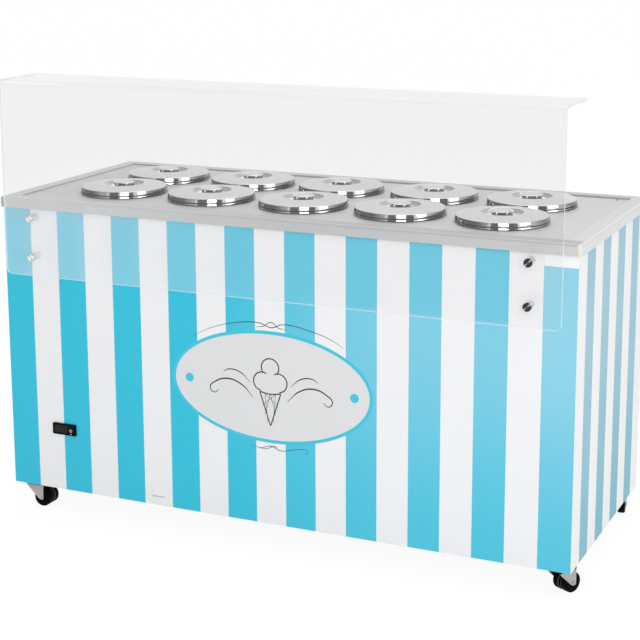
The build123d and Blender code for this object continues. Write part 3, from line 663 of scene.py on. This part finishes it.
# a flat face in the XZ plane, from (across, up, rounding) points in millimetres
def outlineFace(outline, segments=4):
    bm = bmesh.new()
    ring = [bm.verts.new((across * mm, 0, up * mm)) for across, up, rounding in outline]
    bm.faces.new(ring)
    for vert, (across, up, rounding) in zip(ring, outline):
        if rounding:
            bmesh.ops.bevel(
                bm, geom=[vert], offset=rounding * mm, segments=segments, profile=0.5,
                affect="VERTICES", material=-1,
            )
    return bm


# an outline turned about Z
def turned(outline, steps):
    bm = outlineFace(outline)
    bmesh.ops.delete(bm, geom=bm.faces[:], context="FACES_ONLY")
    onAxis = [edge for edge in bm.edges if all(vert.co.x < 1e-7 for vert in edge.verts)]
    bmesh.ops.delete(bm, geom=onAxis, context="EDGES")
    bmesh.ops.spin(
        bm, geom=bm.verts[:] + bm.edges[:], cent=(0, 0, 0), axis=(0, 0, 1),
        angle=math.tau, steps=steps, use_merge=True,
    )
    bmesh.ops.remove_doubles(bm, verts=bm.verts[:], dist=1e-6)
    bmesh.ops.recalc_face_normals(bm, faces=bm.faces[:])
    return bm


# an outline carried along a vector into a solid
def swept(bm, vector):
    grown = bmesh.ops.extrude_face_region(bm, geom=bm.faces[:])
    ends = [item for item in grown["geom"] if isinstance(item, bmesh.types.BMVert)]
    bmesh.ops.translate(bm, vec=vector, verts=ends)
    bmesh.ops.recalc_face_normals(bm, faces=bm.faces[:])
    return bm


# small rounding on every edge sharper than an angle in degrees
def softened(bm, offset, angle=50, segments=2):
    sharp = [edge for edge in bm.edges if edge.calc_face_angle(0.0) > math.radians(angle)]
    bmesh.ops.bevel(
        bm, geom=sharp, offset=offset * mm, segments=segments, profile=0.5, affect="EDGES", material=-1,
    )
    return bm


def joined(parts):
    whole = bmesh.new()
    for part in parts:
        mesh = bpy.data.meshes.new("part")
        part.to_mesh(mesh)
        part.free()
        whole.from_mesh(mesh)
        bpy.data.meshes.remove(mesh)
    return whole


def moved(bm, matrix):
    bmesh.ops.transform(bm, matrix=matrix, verts=bm.verts[:])
    return bm


lid = {
    "radius": 121.0, "lean": 0.2, "lowerBand": 5.8, "groove": 2.6, "grooveDeep": 1.8, "rim": 19.0,
    "crown": 26.0, "crownLift": 0.7, "dish": 54.0, "dishFoot": 50.0, "dishFloor": 13.0, "sheet": 1.5,
    "plug": 103.0, "plugInner": 100.0, "plugDrop": 5.0, "knobBase": 26.0, "knobWaist": 27.5,
    "waistTall": 7.0, "knob": 30.0, "knobTop": 30.0, "knobFlare": (1.0, 4.0), "knobLip": (1.6, 1.2),
    "hollow": 8.0, "hollowDeep": (0.5, 0.7), "steps": 128, "knobSteps": 64, "upright": 0.6, "slack": 0.1,
    "rounds": {
        "plug": 0.6, "foot": 0.8, "band": 0.4, "rim": 1.4, "crown": 20.0, "dish": 1.6, "dishFoot": 3.0,
        "waist": 8.0, "flare": 3.0, "knobEdge": 0.8, "knobLip": 0.9, "hollow": 4.0,
    },
}


def lidOutline(size):
    upperBand = size["lowerBand"] + size["groove"]
    floor, crown, sheet, rounds = size["dishFloor"], size["crown"], size["sheet"], size["rounds"]

    def skirt(height, inwards=0.0):
        return size["radius"] - height * size["lean"] - inwards

    bandTop = skirt(size["rim"])
    crownMiddle = (size["radius"] + size["dish"]) / 2, (size["rim"] + crown) / 2 + size["crownLift"]
    return [
        (size["plugInner"], -size["plugDrop"], rounds["plug"]),
        (size["plug"], -size["plugDrop"], rounds["plug"]),
        (size["plug"], 0.0, rounds["plug"]),
        (size["radius"], 0.0, rounds["foot"]),
        (skirt(size["lowerBand"]), size["lowerBand"], rounds["band"]),
        (skirt(size["lowerBand"], size["grooveDeep"]), size["lowerBand"] + size["groove"] / 2, 0.0),
        (skirt(upperBand), upperBand, rounds["band"]),
        (bandTop, size["rim"], rounds["rim"]),
        (*crownMiddle, rounds["crown"]),
        (size["dish"], crown, rounds["dish"]),
        (size["dishFoot"], floor, rounds["dishFoot"]),
        (0.0, floor, 0.0),
        (0.0, floor - sheet, 0.0),
        (size["dishFoot"] + sheet, floor - sheet, 0.0),
        (size["dish"] + sheet, crown - sheet, 0.0),
        (bandTop - sheet, size["rim"] - sheet, 0.0),
        (bandTop - sheet, sheet, 0.0),
        (size["plugInner"], sheet, 0.0),
    ]


def knobOutline(size):
    low, top, radius, rounds = size["dishFloor"], size["knobTop"], size["knob"], size["rounds"]
    flareIn, flareDown = size["knobFlare"]
    lipIn, lipDown = size["knobLip"]
    edgeDeep, middleDeep = size["hollowDeep"]
    return [
        (0.0, low, 0.0),
        (size["knobBase"], low, 0.0),
        (size["knobWaist"], low + size["waistTall"], rounds["waist"]),
        (radius - flareIn, top - flareDown, rounds["flare"]),
        (radius, top - lipDown, rounds["knobEdge"]),
        (radius - lipIn, top, rounds["knobLip"]),
        (radius - size["hollow"], top - edgeDeep, rounds["hollow"]),
        (0.0, top - middleDeep, 0.0),
    ]


def makeLids():
    steels = [lidSteel, bandSteel, knobSteel, finishes["grooveShadeSteel"]]
    for number in range(1, 11):
        low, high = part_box(f"lid_{number}")
        cover, knob = turned(lidOutline(lid), lid["steps"]), turned(knobOutline(lid), lid["knobSteps"])
        bm = joined([cover, knob])
        for face in bm.faces:
            middle = face.calc_center_median() / mm
            radius = middle.xy.length
            onRim = radius > lid["plug"] + 1
            onSkirt = onRim and abs(face.normal.z) < lid["upright"]
            inGroove = onRim and 0 < middle.z - lid["lowerBand"] < lid["groove"]
            onKnob = radius < lid["knob"] + lid["slack"] and middle.z > lid["dishFloor"] + lid["slack"] / 2
            onKnobSide = onKnob and face.normal.z < lid["upright"]
            face.material_index = 3 if inGroove else 1 if onSkirt else 2 if onKnobSide else 0
        moved(bm, Matrix.Translation(((low.x + high.x) / 2, (low.y + high.y) / 2, deckTop)))
        newPiece(bm, f"spunLid{number}", steels, f"lid_{number}", [f"lid_{number}"])
    print("lids spun")


makeLids()

weld = {
    "radius": 10.0, "edge": 6.0, "edgeSegments": 6, "proud": 0.06, "sheet": 2.0, "overlap": 1.0, "steps": 12,
}


# the worktop's four upright corners, welded shut and ground flush
def makeWelds():
    low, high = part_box("worktop")
    tall = (high.z - low.z) / mm + weld["proud"]
    outer, edge = weld["radius"] + weld["proud"], weld["edge"] + weld["proud"]
    inner, top = outer - weld["sheet"], outer - edge - weld["overlap"]
    outline = [
        (inner, 0, 0), (outer, 0, 0), (outer, tall, edge), (top, tall, 0), (top, tall - weld["sheet"], 0),
        (inner, tall - edge, 0),
    ]
    corners = [(high.x, low.y), (high.x, high.y), (low.x, high.y), (low.x, low.y)]
    middle = (low + high) / 2
    welds = []
    for number, (x, y) in enumerate(corners):
        bm = outlineFace(outline, weld["edgeSegments"])
        bmesh.ops.delete(bm, geom=bm.faces[:], context="FACES_ONLY")
        bmesh.ops.spin(
            bm, geom=bm.verts[:] + bm.edges[:], cent=(0, 0, 0), axis=(0, 0, 1),
            angle=math.pi / 2, steps=weld["steps"],
        )
        bmesh.ops.holes_fill(bm, edges=bm.edges[:])
        bmesh.ops.recalc_face_normals(bm, faces=bm.faces[:])
        inwards = weld["radius"] * mm
        axis = (x - math.copysign(inwards, x - middle.x), y - math.copysign(inwards, y - middle.y), low.z)
        turn = Matrix.Rotation((number - 1) * math.pi / 2, 4, "Z")
        welds.append(moved(bm, Matrix.Translation(axis) @ turn))
    newPiece(joined(welds), "lipWelds", [deckSteel], "cabinet")
    print("lip corners welded")


makeWelds()

guard = {
    "sheet": 6.0, "bend": 6.0, "corner": 16.0, "chamfer": 0.7, "bendSegments": 8, "cornerSegments": 10,
    "leftReach": 9.0, "hair": 1e-5, "sharp": 60, "endFacing": 0.3, "sheetFacing": 0.9,
}


def makeGuard():
    low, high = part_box("sneeze_guard")
    low.x -= guard["leftReach"] * mm
    thick = guard["sheet"]
    drop, shelf = (high.z - low.z) / mm, (high.y - low.y) / mm
    outline = [
        (0, 0, 0), (thick, 0, 0), (thick, drop - thick, guard["bend"]),
        (shelf, drop - thick, 0), (shelf, drop, 0), (0, drop, guard["bend"] + thick),
    ]
    bm = swept(outlineFace(outline, guard["bendSegments"]), (0, high.x - low.x, 0))
    turn = Matrix.Rotation(math.pi / 2, 4, "Z")
    moved(bm, Matrix.Translation((high.x, low.y, low.z)) @ turn)
    bmesh.ops.recalc_face_normals(bm, faces=bm.faces[:])

    def isBottomCorner(edge):
        first, second = (vert.co for vert in edge.verts)
        atFoot = max(first.z, second.z) < low.z + guard["hair"]
        return atFoot and abs(first.x - second.x) < guard["hair"]

    bmesh.ops.bevel(
        bm, geom=[edge for edge in bm.edges if isBottomCorner(edge)], offset=guard["corner"] * mm,
        segments=guard["cornerSegments"], profile=0.5, affect="EDGES", material=-1,
    )
    softened(bm, guard["chamfer"], guard["sharp"], 1)
    for face in bm.faces:
        middle = face.calc_center_median()
        atEnd = abs(face.normal.x) > guard["endFacing"]
        nearFoot = middle.z < low.z + guard["corner"] * mm
        atFoot = nearFoot and abs(face.normal.y) < guard["sheetFacing"]
        face.material_index = 1 if atEnd or atFoot else 0
    newPiece(bm, "bentGuard", [clearSheet, clearEdge], "cabinet", ["sneeze_guard"])
    print("guard bent")


makeGuard()


def makeStandoffs():
    low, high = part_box("standoff_caps")
    reach = standoff["seat"] * mm
    acrossMove, upMove = (move * mm for move in standoff["move"])
    outwards = Matrix.Rotation(math.pi / 2, 4, "X")
    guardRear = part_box("sneeze_guard")[0].y + guard["sheet"] * mm
    length = (frontFace - guardRear) / mm
    radius, neck, ease = standoff["barrel"], standoff["neck"], standoff["ease"]
    ring, wide, slope = length - standoff["ring"], standoff["ringWide"], standoff["ringSlope"]
    barrelOutline = [
        (0, 0, 0), (radius, 0, neck), (radius, ring, ease), (radius - neck, ring + slope, ease),
        (radius - neck, ring + wide - slope, ease), (radius, ring + wide, ease), (radius, length, neck),
        (0, length, 0),
    ]
    cap, thick = standoff["cap"], standoff["capThick"]
    capOutline = [(0, 0, 0), (cap, 0, standoff["capBack"]), (cap, thick, standoff["capEdge"]), (0, thick, 0)]
    barrels, caps = [], []
    for x in (low.x + reach, high.x - reach):
        for z in (low.z + reach, high.z - reach):
            centre = x + acrossMove, z + upMove
            barrelFoot = Matrix.Translation((centre[0], frontFace, centre[1])) @ outwards
            barrels.append(moved(turned(barrelOutline, standoff["steps"]), barrelFoot))
            capFace = Matrix.Translation((centre[0], low.y + thick * mm, centre[1])) @ outwards
            caps.append(moved(turned(capOutline, standoff["capSteps"]), capFace))
    steel = [finishes["turnedSteel"]]
    newPiece(joined(barrels), "standoffBarrels", steel, "cabinet", ["standoff_barrels"])
    newPiece(joined(caps), "standoffCaps", [capSteel], "cabinet", ["standoff_caps"])
    print("standoffs turned")


makeStandoffs()

caster = {
    "lead": 23.0, "toe": 6.5, "trail": 26.0, "leg": 2.5, "gap": 1.0, "crown": 6.0, "pin": 6.0,
    "pinTall": 6.0, "rivet": 5.0, "rivetDish": 2.6, "rivetThick": 1.6, "edge": 0.5, "shoulder": 7.0,
    "wheel": 53.0, "wide": 46.0, "tread": 4.0, "groove": 7.0, "grooveDepth": 8.0, "hub": 12.0,
    "hubDish": 1.5, "hubRing": 1.0, "hubEdge": 0.5, "bore": 4.05, "shoulderRound": 2.2, "shoulderDrop": 3.0,
    "overlap": 1.0, "rivetSlope": 0.8, "rivetLip": 0.3, "rivetFloor": 0.6, "crownRound": 1.2, "slack": 0.1,
    "steps": 64, "pinSteps": 32,
}


def forkParts(size, forkTop):
    inside = size["wide"] / 2 + size["gap"]
    outside = inside + size["leg"]
    under = forkTop - size["crown"]
    axle = size["wheel"] / 2
    foot = axle - size["toe"]
    back = size["trail"] + size["toe"]
    top, shoulder = under + size["overlap"], under - size["shoulderDrop"]
    legOutline = [
        (-size["lead"], top, 0), (-size["lead"], shoulder, size["shoulder"]),
        (size["trail"] - size["toe"], foot, size["toe"]), (back, foot, size["toe"]), (back, top, 0),
    ]
    rivet, dish, thick = size["rivet"], size["rivetDish"], size["rivetThick"]
    slope, lip, floor = size["rivetSlope"], size["rivetLip"], size["rivetFloor"]
    rivetOutline = [
        (0, 0, 0), (rivet, 0, 0), (rivet, thick, slope), (dish, thick, lip), (dish - slope, floor, lip),
        (0, floor, 0),
    ]
    parts = []
    for side in (-1, 1):
        leg = softened(swept(outlineFace(legOutline), (0, size["leg"] * mm, 0)), size["edge"])
        start = inside if side > 0 else -outside
        parts.append(moved(leg, Matrix.Translation((0, start * mm, 0))))
        facing = Matrix.Rotation(-side * math.pi / 2, 4, "X")
        place = Vector((size["trail"], side * outside, axle)) * mm
        parts.append(moved(turned(rivetOutline, size["pinSteps"]), Matrix.Translation(place) @ facing))
    crown = bmesh.new()
    overlap = size["overlap"]
    reach = Vector((size["lead"] + back + overlap, 2 * outside + overlap, size["crown"])) * mm
    bmesh.ops.create_cube(crown, size=1.0, matrix=Matrix.Diagonal((*reach, 1)))
    middle = Vector(((back - size["lead"]) / 2, 0, forkTop - size["crown"] / 2)) * mm
    parts.append(softened(moved(crown, Matrix.Translation(middle)), size["crownRound"], segments=3))
    pin, pinTall = size["pin"], size["pinTall"]
    pinOutline = [(0, 0, 0), (pin, 0, 0), (pin, pinTall, size["edge"]), (0, pinTall, 0)]
    parts.append(moved(turned(pinOutline, size["pinSteps"]), Matrix.Translation((0, 0, forkTop * mm))))
    return parts


def wheelOutline(size):
    half, groove, wheelRadius = size["wide"] / 2, size["groove"] / 2, size["wheel"] / 2
    floor = wheelRadius - size["grooveDepth"]
    hub, ring, edge, dish = size["hub"], size["hubRing"], size["hubEdge"], size["hubDish"]
    tread, rounding = size["tread"], size["shoulderRound"]
    return [
        (size["bore"], -half, 0), (hub - 2 * ring, -half, edge), (hub - ring, -half + dish, edge),
        (hub, -half, edge), (wheelRadius, -half, tread), (wheelRadius, -groove, rounding),
        (floor, -groove, 0), (floor, groove, 0), (wheelRadius, groove, rounding), (wheelRadius, half, tread),
        (hub, half, edge), (hub - ring, half - dish, edge), (hub - 2 * ring, half, edge),
        (size["bore"], half, 0),
    ]


def makeCasters():
    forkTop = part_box("caster_fork_1")[1].z / mm - caster["pinTall"]
    for number in range(1, 5):
        swivel, roll = joints[f"caster_{number}_swivel"], joints[f"caster_{number}_roll"]
        heading = math.atan2(-roll["axis"][0], roll["axis"][1])
        turn = Matrix.Rotation(heading, 4, "Z")
        fork = joined(forkParts(caster, forkTop))
        for face in fork.faces:
            # the crown is black moulding, a part that also stands in for the shade under the panel
            inCrown = face.calc_center_median().z / mm > forkTop - caster["crown"] - caster["slack"]
            face.material_index = 1 if inCrown else 0
        moved(fork, Matrix.Translation((swivel["pos_m"][0], swivel["pos_m"][1], 0)) @ turn)
        node = f"caster_fork_{number}"
        forkFinishes = [finishes["zinc"], finishes["blackMoulding"]]
        newPiece(fork, f"pressedFork{number}", forkFinishes, node, [node])
        wheel = turned(wheelOutline(caster), caster["steps"])
        for face in wheel.faces:  # the shoulders beside the groove take a lighter rubber, a painted highlight
            middle = face.calc_center_median() / mm
            atRim = middle.xy.length > caster["wheel"] / 2 - caster["shoulderRound"]
            fromGroove = abs(middle.z) - caster["groove"] / 2
            face.material_index = 1 if atRim and 0 < fromGroove < caster["shoulderRound"] else 0
        moved(wheel, Matrix.Translation(roll["pos_m"]) @ turn @ Matrix.Rotation(math.pi / 2, 4, "X"))
        node = f"caster_wheel_{number}"
        rubber = [finishes["wheelRubber"], finishes["paintedHighlightRubber"]]
        newPiece(wheel, f"treadWheel{number}", rubber, node, [node])
    print("casters made")


makeCasters()

plaque = {
    "height": 374.0 * mm, "wide": 557.0 * mm, "tall": 283.0 * mm, "border": 9.0 * mm, "film": 0.3 * mm,
    "dot": 24.0 * mm, "dotReach": 237.0 * mm, "segments": 160,
}
plaqueZ = panelLow.z + plaque["height"]


# a flat film on the front panel: an ellipse round (x, z), one film thick, on so many layers
def filmEllipse(x, z, wide, tall, layer):
    bm = bmesh.new()
    bmesh.ops.create_circle(bm, cap_ends=True, segments=plaque["segments"], radius=0.5)
    swept(bm, (0, 0, 1))
    size = Matrix.Diagonal((wide, tall, plaque["film"], 1))
    face = Matrix.Rotation(math.pi / 2, 4, "X")
    return moved(bm, Matrix.Translation((x, frontFace - plaque["film"] * layer, z)) @ face @ size)


flourish = {
    "width": 1.9 * mm, "lift": 4.0 * mm, "motifWidth": 3.4 * mm, "hatchWidth": 1.5 * mm, "ink": 0.5 * mm,
    "smooth": 10,
}


# ink lines drawn with smooth strokes of (x, z, weight) about a middle, flattened onto the panel
def inkStrokes(name, strokes, width, middle, layer):
    curve = bpy.data.curves.new(name, "CURVE")
    curve.dimensions = "3D"
    curve.bevel_depth = width / 2
    curve.bevel_resolution = 2
    curve.resolution_u = flourish["smooth"]
    curve.use_fill_caps = True
    for stroke in strokes:
        spline = curve.splines.new("BEZIER")
        spline.bezier_points.add(len(stroke) - 1)
        for point, (x, z, weight) in zip(spline.bezier_points, stroke):
            point.co = (x * mm, 0, z * mm)
            point.handle_left_type = "AUTO"
            point.handle_right_type = "AUTO"
            point.radius = weight
    drawing = bpy.data.objects.new(name + "Curve", curve)
    bpy.context.scene.collection.objects.link(drawing)
    bpy.context.view_layer.update()
    drawn = drawing.evaluated_get(bpy.context.evaluated_depsgraph_get())
    mesh = bpy.data.meshes.new_from_object(drawn)
    bpy.data.objects.remove(drawing)
    bm = bmesh.new()
    bm.from_mesh(mesh)
    bpy.data.meshes.remove(mesh)
    flat = Matrix.Diagonal((1, flourish["ink"] / width, 1, 1))
    moved(bm, Matrix.Translation((middle[0], frontFace - plaque["film"] * layer, middle[1])) @ flat)
    newPiece(bm, name, [finishes["charcoalInk"]], "cabinet")


upperFlourish = [
    [(-226, 110, 0.3), (-168, 139, 0.7), (-89, 161, 1.0), (-28, 165, 1.1), (4, 156, 1.2), (36, 167, 1.1),
     (115, 158, 1.0), (173, 141, 0.8), (209, 123, 0.3)],
    [(-39, 154, 0.5), (-20, 157, 0.9), (4, 170, 1.1), (25, 157, 1.0), (41, 155, 0.5)],
]
lowerFlourish = [
    [(-60, -165, 0.3), (-30, -171, 0.8), (0, -163, 1.0), (27, -172, 1.0), (64, -165, 0.9), (88, -160, 0.8),
     (103, -162, 0.7), (105, -169, 0.6), (98, -172, 0.5)],
    [(-34, -172, 0.4), (-14, -172, 0.9), (10, -163, 1.0), (21, -166, 0.5)],
]


# the motif in the middle is a plain cone with three scoops between two scrolls
def scoop(x, z, radius, start, end, steps=8):
    sweep = [math.radians(start + (end - start) * i / steps) for i in range(steps + 1)]
    return [(x + radius * math.cos(a), z + radius * math.sin(a), 1.0) for a in sweep]


coneMotif = {
    "rim": -14, "rimDip": 4, "tip": -104, "tipWeight": 0.8, "halfRim": 30, "scoop": 25, "reach": 23,
    "lift": 14, "peak": 52, "leftArc": (62, 262), "rightArc": (118, -82), "peakArc": (-38, 218),
    "scroll": [
        (48, -34, 0.3), (82, -2, 1.0), (122, 10, 1.2), (160, -2, 1.0), (176, -20, 0.9), (164, -32, 0.7),
        (151, -23, 0.5),
    ],
    "tendril": [(58, 8, 0.3), (88, 32, 0.9), (120, 36, 0.9), (136, 28, 0.4)],
    "hatchShares": (0.25, 0.5, 0.75), "hatchWeight": 0.8, "hatchTop": 3, "hatchDrop": 14,
}


def coneStrokes(size):
    half, rim, tip, radius = size["halfRim"], size["rim"], size["tip"], size["scoop"]
    outline = [[(-half, rim, 1.0), (0, rim - size["rimDip"], 1.0), (half, rim, 1.0)]]
    for edge in (-half, half):
        outline.append([(edge, rim, 1.0), (edge / 2, (rim + tip) / 2, 1.0), (0, tip, size["tipWeight"])])
    outline.append(scoop(-size["reach"], size["lift"], radius, *size["leftArc"]))
    outline.append(scoop(size["reach"], size["lift"], radius, *size["rightArc"]))
    outline.append(scoop(0, size["peak"], radius, *size["peakArc"]))
    for stroke in (size["scroll"], size["tendril"]):
        outline.append(stroke)
        outline.append([(-x, z, weight) for x, z, weight in stroke])
    return outline


def hatchStrokes(size):
    lines = []
    rim, tip, weight = size["rim"], size["tip"], size["hatchWeight"]
    slope = size["halfRim"] / (rim - tip)
    for share in size["hatchShares"]:
        level = rim + (tip - rim) * share
        reach = slope * (level - tip)
        start = size["halfRim"] * (1 - 2 * share)
        for side in (-1, 1):
            upper = (side * start, rim - size["hatchTop"], weight)
            lines.append([upper, (side * -reach, level - size["hatchDrop"], weight)])
    return lines


def makePlaque():
    wide, tall, rim = plaque["wide"], plaque["tall"], 2 * plaque["border"]
    border = filmEllipse(0, plaqueZ, wide + rim, tall + rim, 0)
    dots = [
        filmEllipse(side * plaque["dotReach"], plaqueZ, plaque["dot"], plaque["dot"], 2) for side in (-1, 1)
    ]
    film = [finishes["turquoiseFilm"]]
    newPiece(joined([border, *dots]), "plaqueBorder", film, "cabinet")
    field = filmEllipse(0, plaqueZ, wide, tall, 1)
    newPiece(field, "plaqueField", [finishes["plaqueFilm"]], "cabinet")
    middle = (0, plaqueZ)
    lifted = (0, plaqueZ + flourish["lift"])
    inkStrokes("upperFlourish", upperFlourish, flourish["width"], lifted, 0)
    inkStrokes("lowerFlourish", lowerFlourish, flourish["width"], lifted, 0)
    inkStrokes("coneMotif", coneStrokes(coneMotif), flourish["motifWidth"], middle, 2)
    inkStrokes("coneHatch", hatchStrokes(coneMotif), flourish["hatchWidth"], middle, 2)
    print("plaque printed")


makePlaque()

label = {"wide": 84.0 * mm, "tall": 31.0 * mm, "film": 0.3 * mm, "corner": 1.5 * mm, "inset": 0.5 * mm}


# an upright plate with rounded corners
def plate(wide, tall, thick, corner, segments=5):
    bm = bmesh.new()
    bmesh.ops.create_cube(bm, size=1.0, matrix=Matrix.Diagonal((wide, thick, tall, 1)))
    across = [edge for edge in bm.edges if abs(edge.verts[0].co.y - edge.verts[1].co.y) > thick / 2]
    bmesh.ops.bevel(
        bm, geom=across, offset=corner, segments=segments, profile=0.5, affect="EDGES", material=-1,
    )
    return bm


def makeLabel():
    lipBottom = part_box("worktop")[0].z
    x = panelHigh.x - label["wide"] / 2 - label["inset"]
    bm = plate(label["wide"], label["tall"], label["film"], label["corner"])
    moved(bm, Matrix.Translation((x, frontFace - label["film"] / 2, lipBottom - label["tall"] / 2)))
    newPiece(bm, "bareLabel", [finishes["labelFilm"]], "cabinet")
    print("label placed")


makeLabel()

plug = {"radius": 3.0, "tall": 1.2, "round": 0.6, "steps": 32, "place": (0.739, 0.298)}


def makePlug():
    radius, tall = plug["radius"], plug["tall"]
    outline = [(0, 0, 0), (radius, 0, 0), (radius, tall, plug["round"]), (0, tall, 0)]
    bm = moved(turned(outline, plug["steps"]), Matrix.Translation((*plug["place"], deckTop)))
    newPiece(bm, "deckPlug", [finishes["blackMoulding"]], "cabinet")
    print("deck plugged")


makePlug()

display = {
    "digit": 9.0 * mm, "digitTall": 17.0 * mm, "bar": 1.6 * mm, "gap": 0.35 * mm, "pitch": 13.5 * mm,
    "lean": 0.1, "barRound": 0.45, "proud": 0.15 * mm, "led": 2.2 * mm, "ledAside": 3.5 * mm,
    "ledDown": 3.0 * mm, "count": 3, "mark": (5.0 * mm, 1.4 * mm),
}


# the seven unlit segments of a digit: across, up, and whether each lies flat
def segmentPlaces(size):
    halfWide, halfTall = size["digit"] / 2, size["digitTall"] / 2
    flat = [(0, level, True) for level in (-halfTall, 0, halfTall)]
    return flat + [(x, z, False) for x in (-halfWide, halfWide) for z in (-halfTall / 2, halfTall / 2)]


def makeDisplay():
    low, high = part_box("thermostat_window")
    middle = (low + high) / 2
    bars = []
    middleIndex = (display["count"] - 1) / 2
    for index in range(display["count"]):
        for x, z, flat in segmentPlaces(display):
            length = (display["digit"] if flat else display["digitTall"] / 2) - 2 * display["gap"]
            wide, tall = (length, display["bar"]) if flat else (display["bar"], length)
            bar = plate(wide, tall, display["proud"], display["bar"] * display["barRound"])
            across = (index - middleIndex) * display["pitch"] + x + z * display["lean"]
            place = (middle.x + across, low.y - display["proud"] / 2, middle.z + z)
            bars.append(moved(bar, Matrix.Translation(place)))
    newPiece(joined(bars), "displayDigits", [finishes["dimSegments"]], "cabinet")
    lamp = filmEllipse(0, 0, display["led"], display["led"], 0)
    aside = (high.x + display["ledAside"], low.y - frontFace, high.z - display["ledDown"])
    moved(lamp, Matrix.Translation(aside))
    newPiece(lamp, "displayLamp", [finishes["redLens"]], "cabinet")
    low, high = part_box("thermostat_button")
    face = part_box("thermostat")[0]
    mark = plate(*display["mark"], display["proud"], display["proud"])
    under = (low.z + face.z) / 2
    moved(mark, Matrix.Translation(((low.x + high.x) / 2, face.y - display["proud"] / 2, under)))
    newPiece(mark, "displayMark", [finishes["labelFilm"]], "cabinet")
    print("display made")


makeDisplay()

camera = {
    "place": (1.771, -3.907, 1.665), "pitchDown": 0.2004, "roll": 0.0038, "turn": 0.4254, "lens": 90.47,
    "sensor": 36.0, "lower": 0.134, "far": 200,
}


def makeCamera():
    data = bpy.data.cameras.new("camera")
    data.lens = camera["lens"]
    data.sensor_width = camera["sensor"]
    data.shift_y = -camera["lower"]
    data.clip_end = camera["far"]
    view = bpy.data.objects.new("camera", data)
    view.location = camera["place"]
    view.rotation_euler = (math.pi / 2 - camera["pitchDown"], camera["roll"], camera["turn"])
    bpy.context.scene.collection.objects.link(view)
    bpy.context.scene.camera = view
    print("camera placed")


makeCamera()

studio = {
    "ambient": 0.76, "mirror": 0.95, "floorShade": 0.14, "floorDark": even(0.9), "floorLight": even(0.92),
    "floorCloud": 0.4, "floorSize": 90.0, "floorGlow": 1.045, "cardEdge": 0.85,
    "cards": [(3, 14, 0.06), (39, 18, 0.05), (-72, 61, 0.42), (118, 40, 0.55)],
}
lamps = {
    "frontSoftbox": {"place": (2.3, -4.7, 2.4), "aim": (0.0, 0, 0.6), "size": (2.0, 2.0), "power": 70},
    "rightSoftbox": {"place": (5.0, -1.2, 2.6), "aim": (0.6, 0, 0.5), "size": (2.4, 2.4), "power": 34},
    "topSoftbox": {"place": (0.0, 0.8, 4.2), "aim": (0, 0, 0.9), "size": (3.0, 2.0), "power": 40},
}


def makeStudio():
    scene = bpy.context.scene
    scene.view_settings.view_transform = "Standard"
    world = bpy.data.worlds.new("studio")
    world.use_nodes = True
    scene.world = world
    sky = Shader("studio", world.node_tree)
    path = sky.node("ShaderNodeLightPath")
    seen = path.math("MAXIMUM", path.out("Is Camera Ray"), path.out("Is Transmission Ray"))
    around = sky.node("ShaderNodeTexCoord", None, None, "Generated")
    split = sky.node("ShaderNodeSeparateXYZ", None, {0: around})
    azimuth = split.math("ARCTAN2", split, split.out("Y") * -1.0)
    # grey cards round the studio, seen in reflections only: middle and half width in degrees, and level
    mirror = studio["mirror"]
    for middle, half, level in studio["cards"]:
        offset = abs(azimuth - math.radians(middle))
        card = sky.ramp(offset, math.radians(half * studio["cardEdge"]), math.radians(half), 1.0, 0.0)
        mirror = mirror - (mirror - level) * card
    glossy = path.out("Is Glossy Ray")
    hidden = glossy * mirror + (1 - glossy) * studio["ambient"]
    strength = seen + (1 - seen) * hidden
    glow = sky.node("ShaderNodeBackground", None, {"Color": (1, 1, 1, 1), "Strength": strength})
    sky.node("ShaderNodeOutputWorld", None, {"Surface": glow})

    ground = Shader("paleFloor")
    ray = ground.node("ShaderNodeLightPath")
    cloud = ground.grain(studio["floorCloud"])
    lit = ground.node("ShaderNodeBsdfDiffuse", None, {
        "Color": ground.blend(cloud, studio["floorDark"], studio["floorLight"]),
    })
    bare = ground.node("ShaderNodeEmission", None, {"Color": (1, 1, 1, 1), "Strength": studio["floorGlow"]})
    direct = ray.out("Is Camera Ray") + ray.out("Is Glossy Ray") + ray.out("Is Transmission Ray")
    share = direct.math("MINIMUM", direct, 1.0) * (1 - studio["floorShade"])
    both = ground.mixed(share, lit, bare)
    ground.node("ShaderNodeOutputMaterial", None, {"Surface": both})
    bm = bmesh.new()
    bmesh.ops.create_grid(bm, x_segments=1, y_segments=1, size=studio["floorSize"])
    mesh = bpy.data.meshes.new("floor")
    bm.to_mesh(mesh)
    bm.free()
    mesh.materials.append(ground.material)
    floor = bpy.data.objects.new("floor", mesh)
    scene.collection.objects.link(floor)

    for name, lamp in lamps.items():
        light = bpy.data.lights.new(name, "AREA")
        light.shape = "RECTANGLE"
        light.size, light.size_y = lamp["size"]
        light.energy = lamp["power"]
        holder = bpy.data.objects.new(name, light)
        holder.location = lamp["place"]
        aim = Vector(lamp["aim"]) - Vector(lamp["place"])
        holder.rotation_euler = aim.to_track_quat("-Z", "Y").to_euler()
        scene.collection.objects.link(holder)
    print("studio lit")


makeStudio()
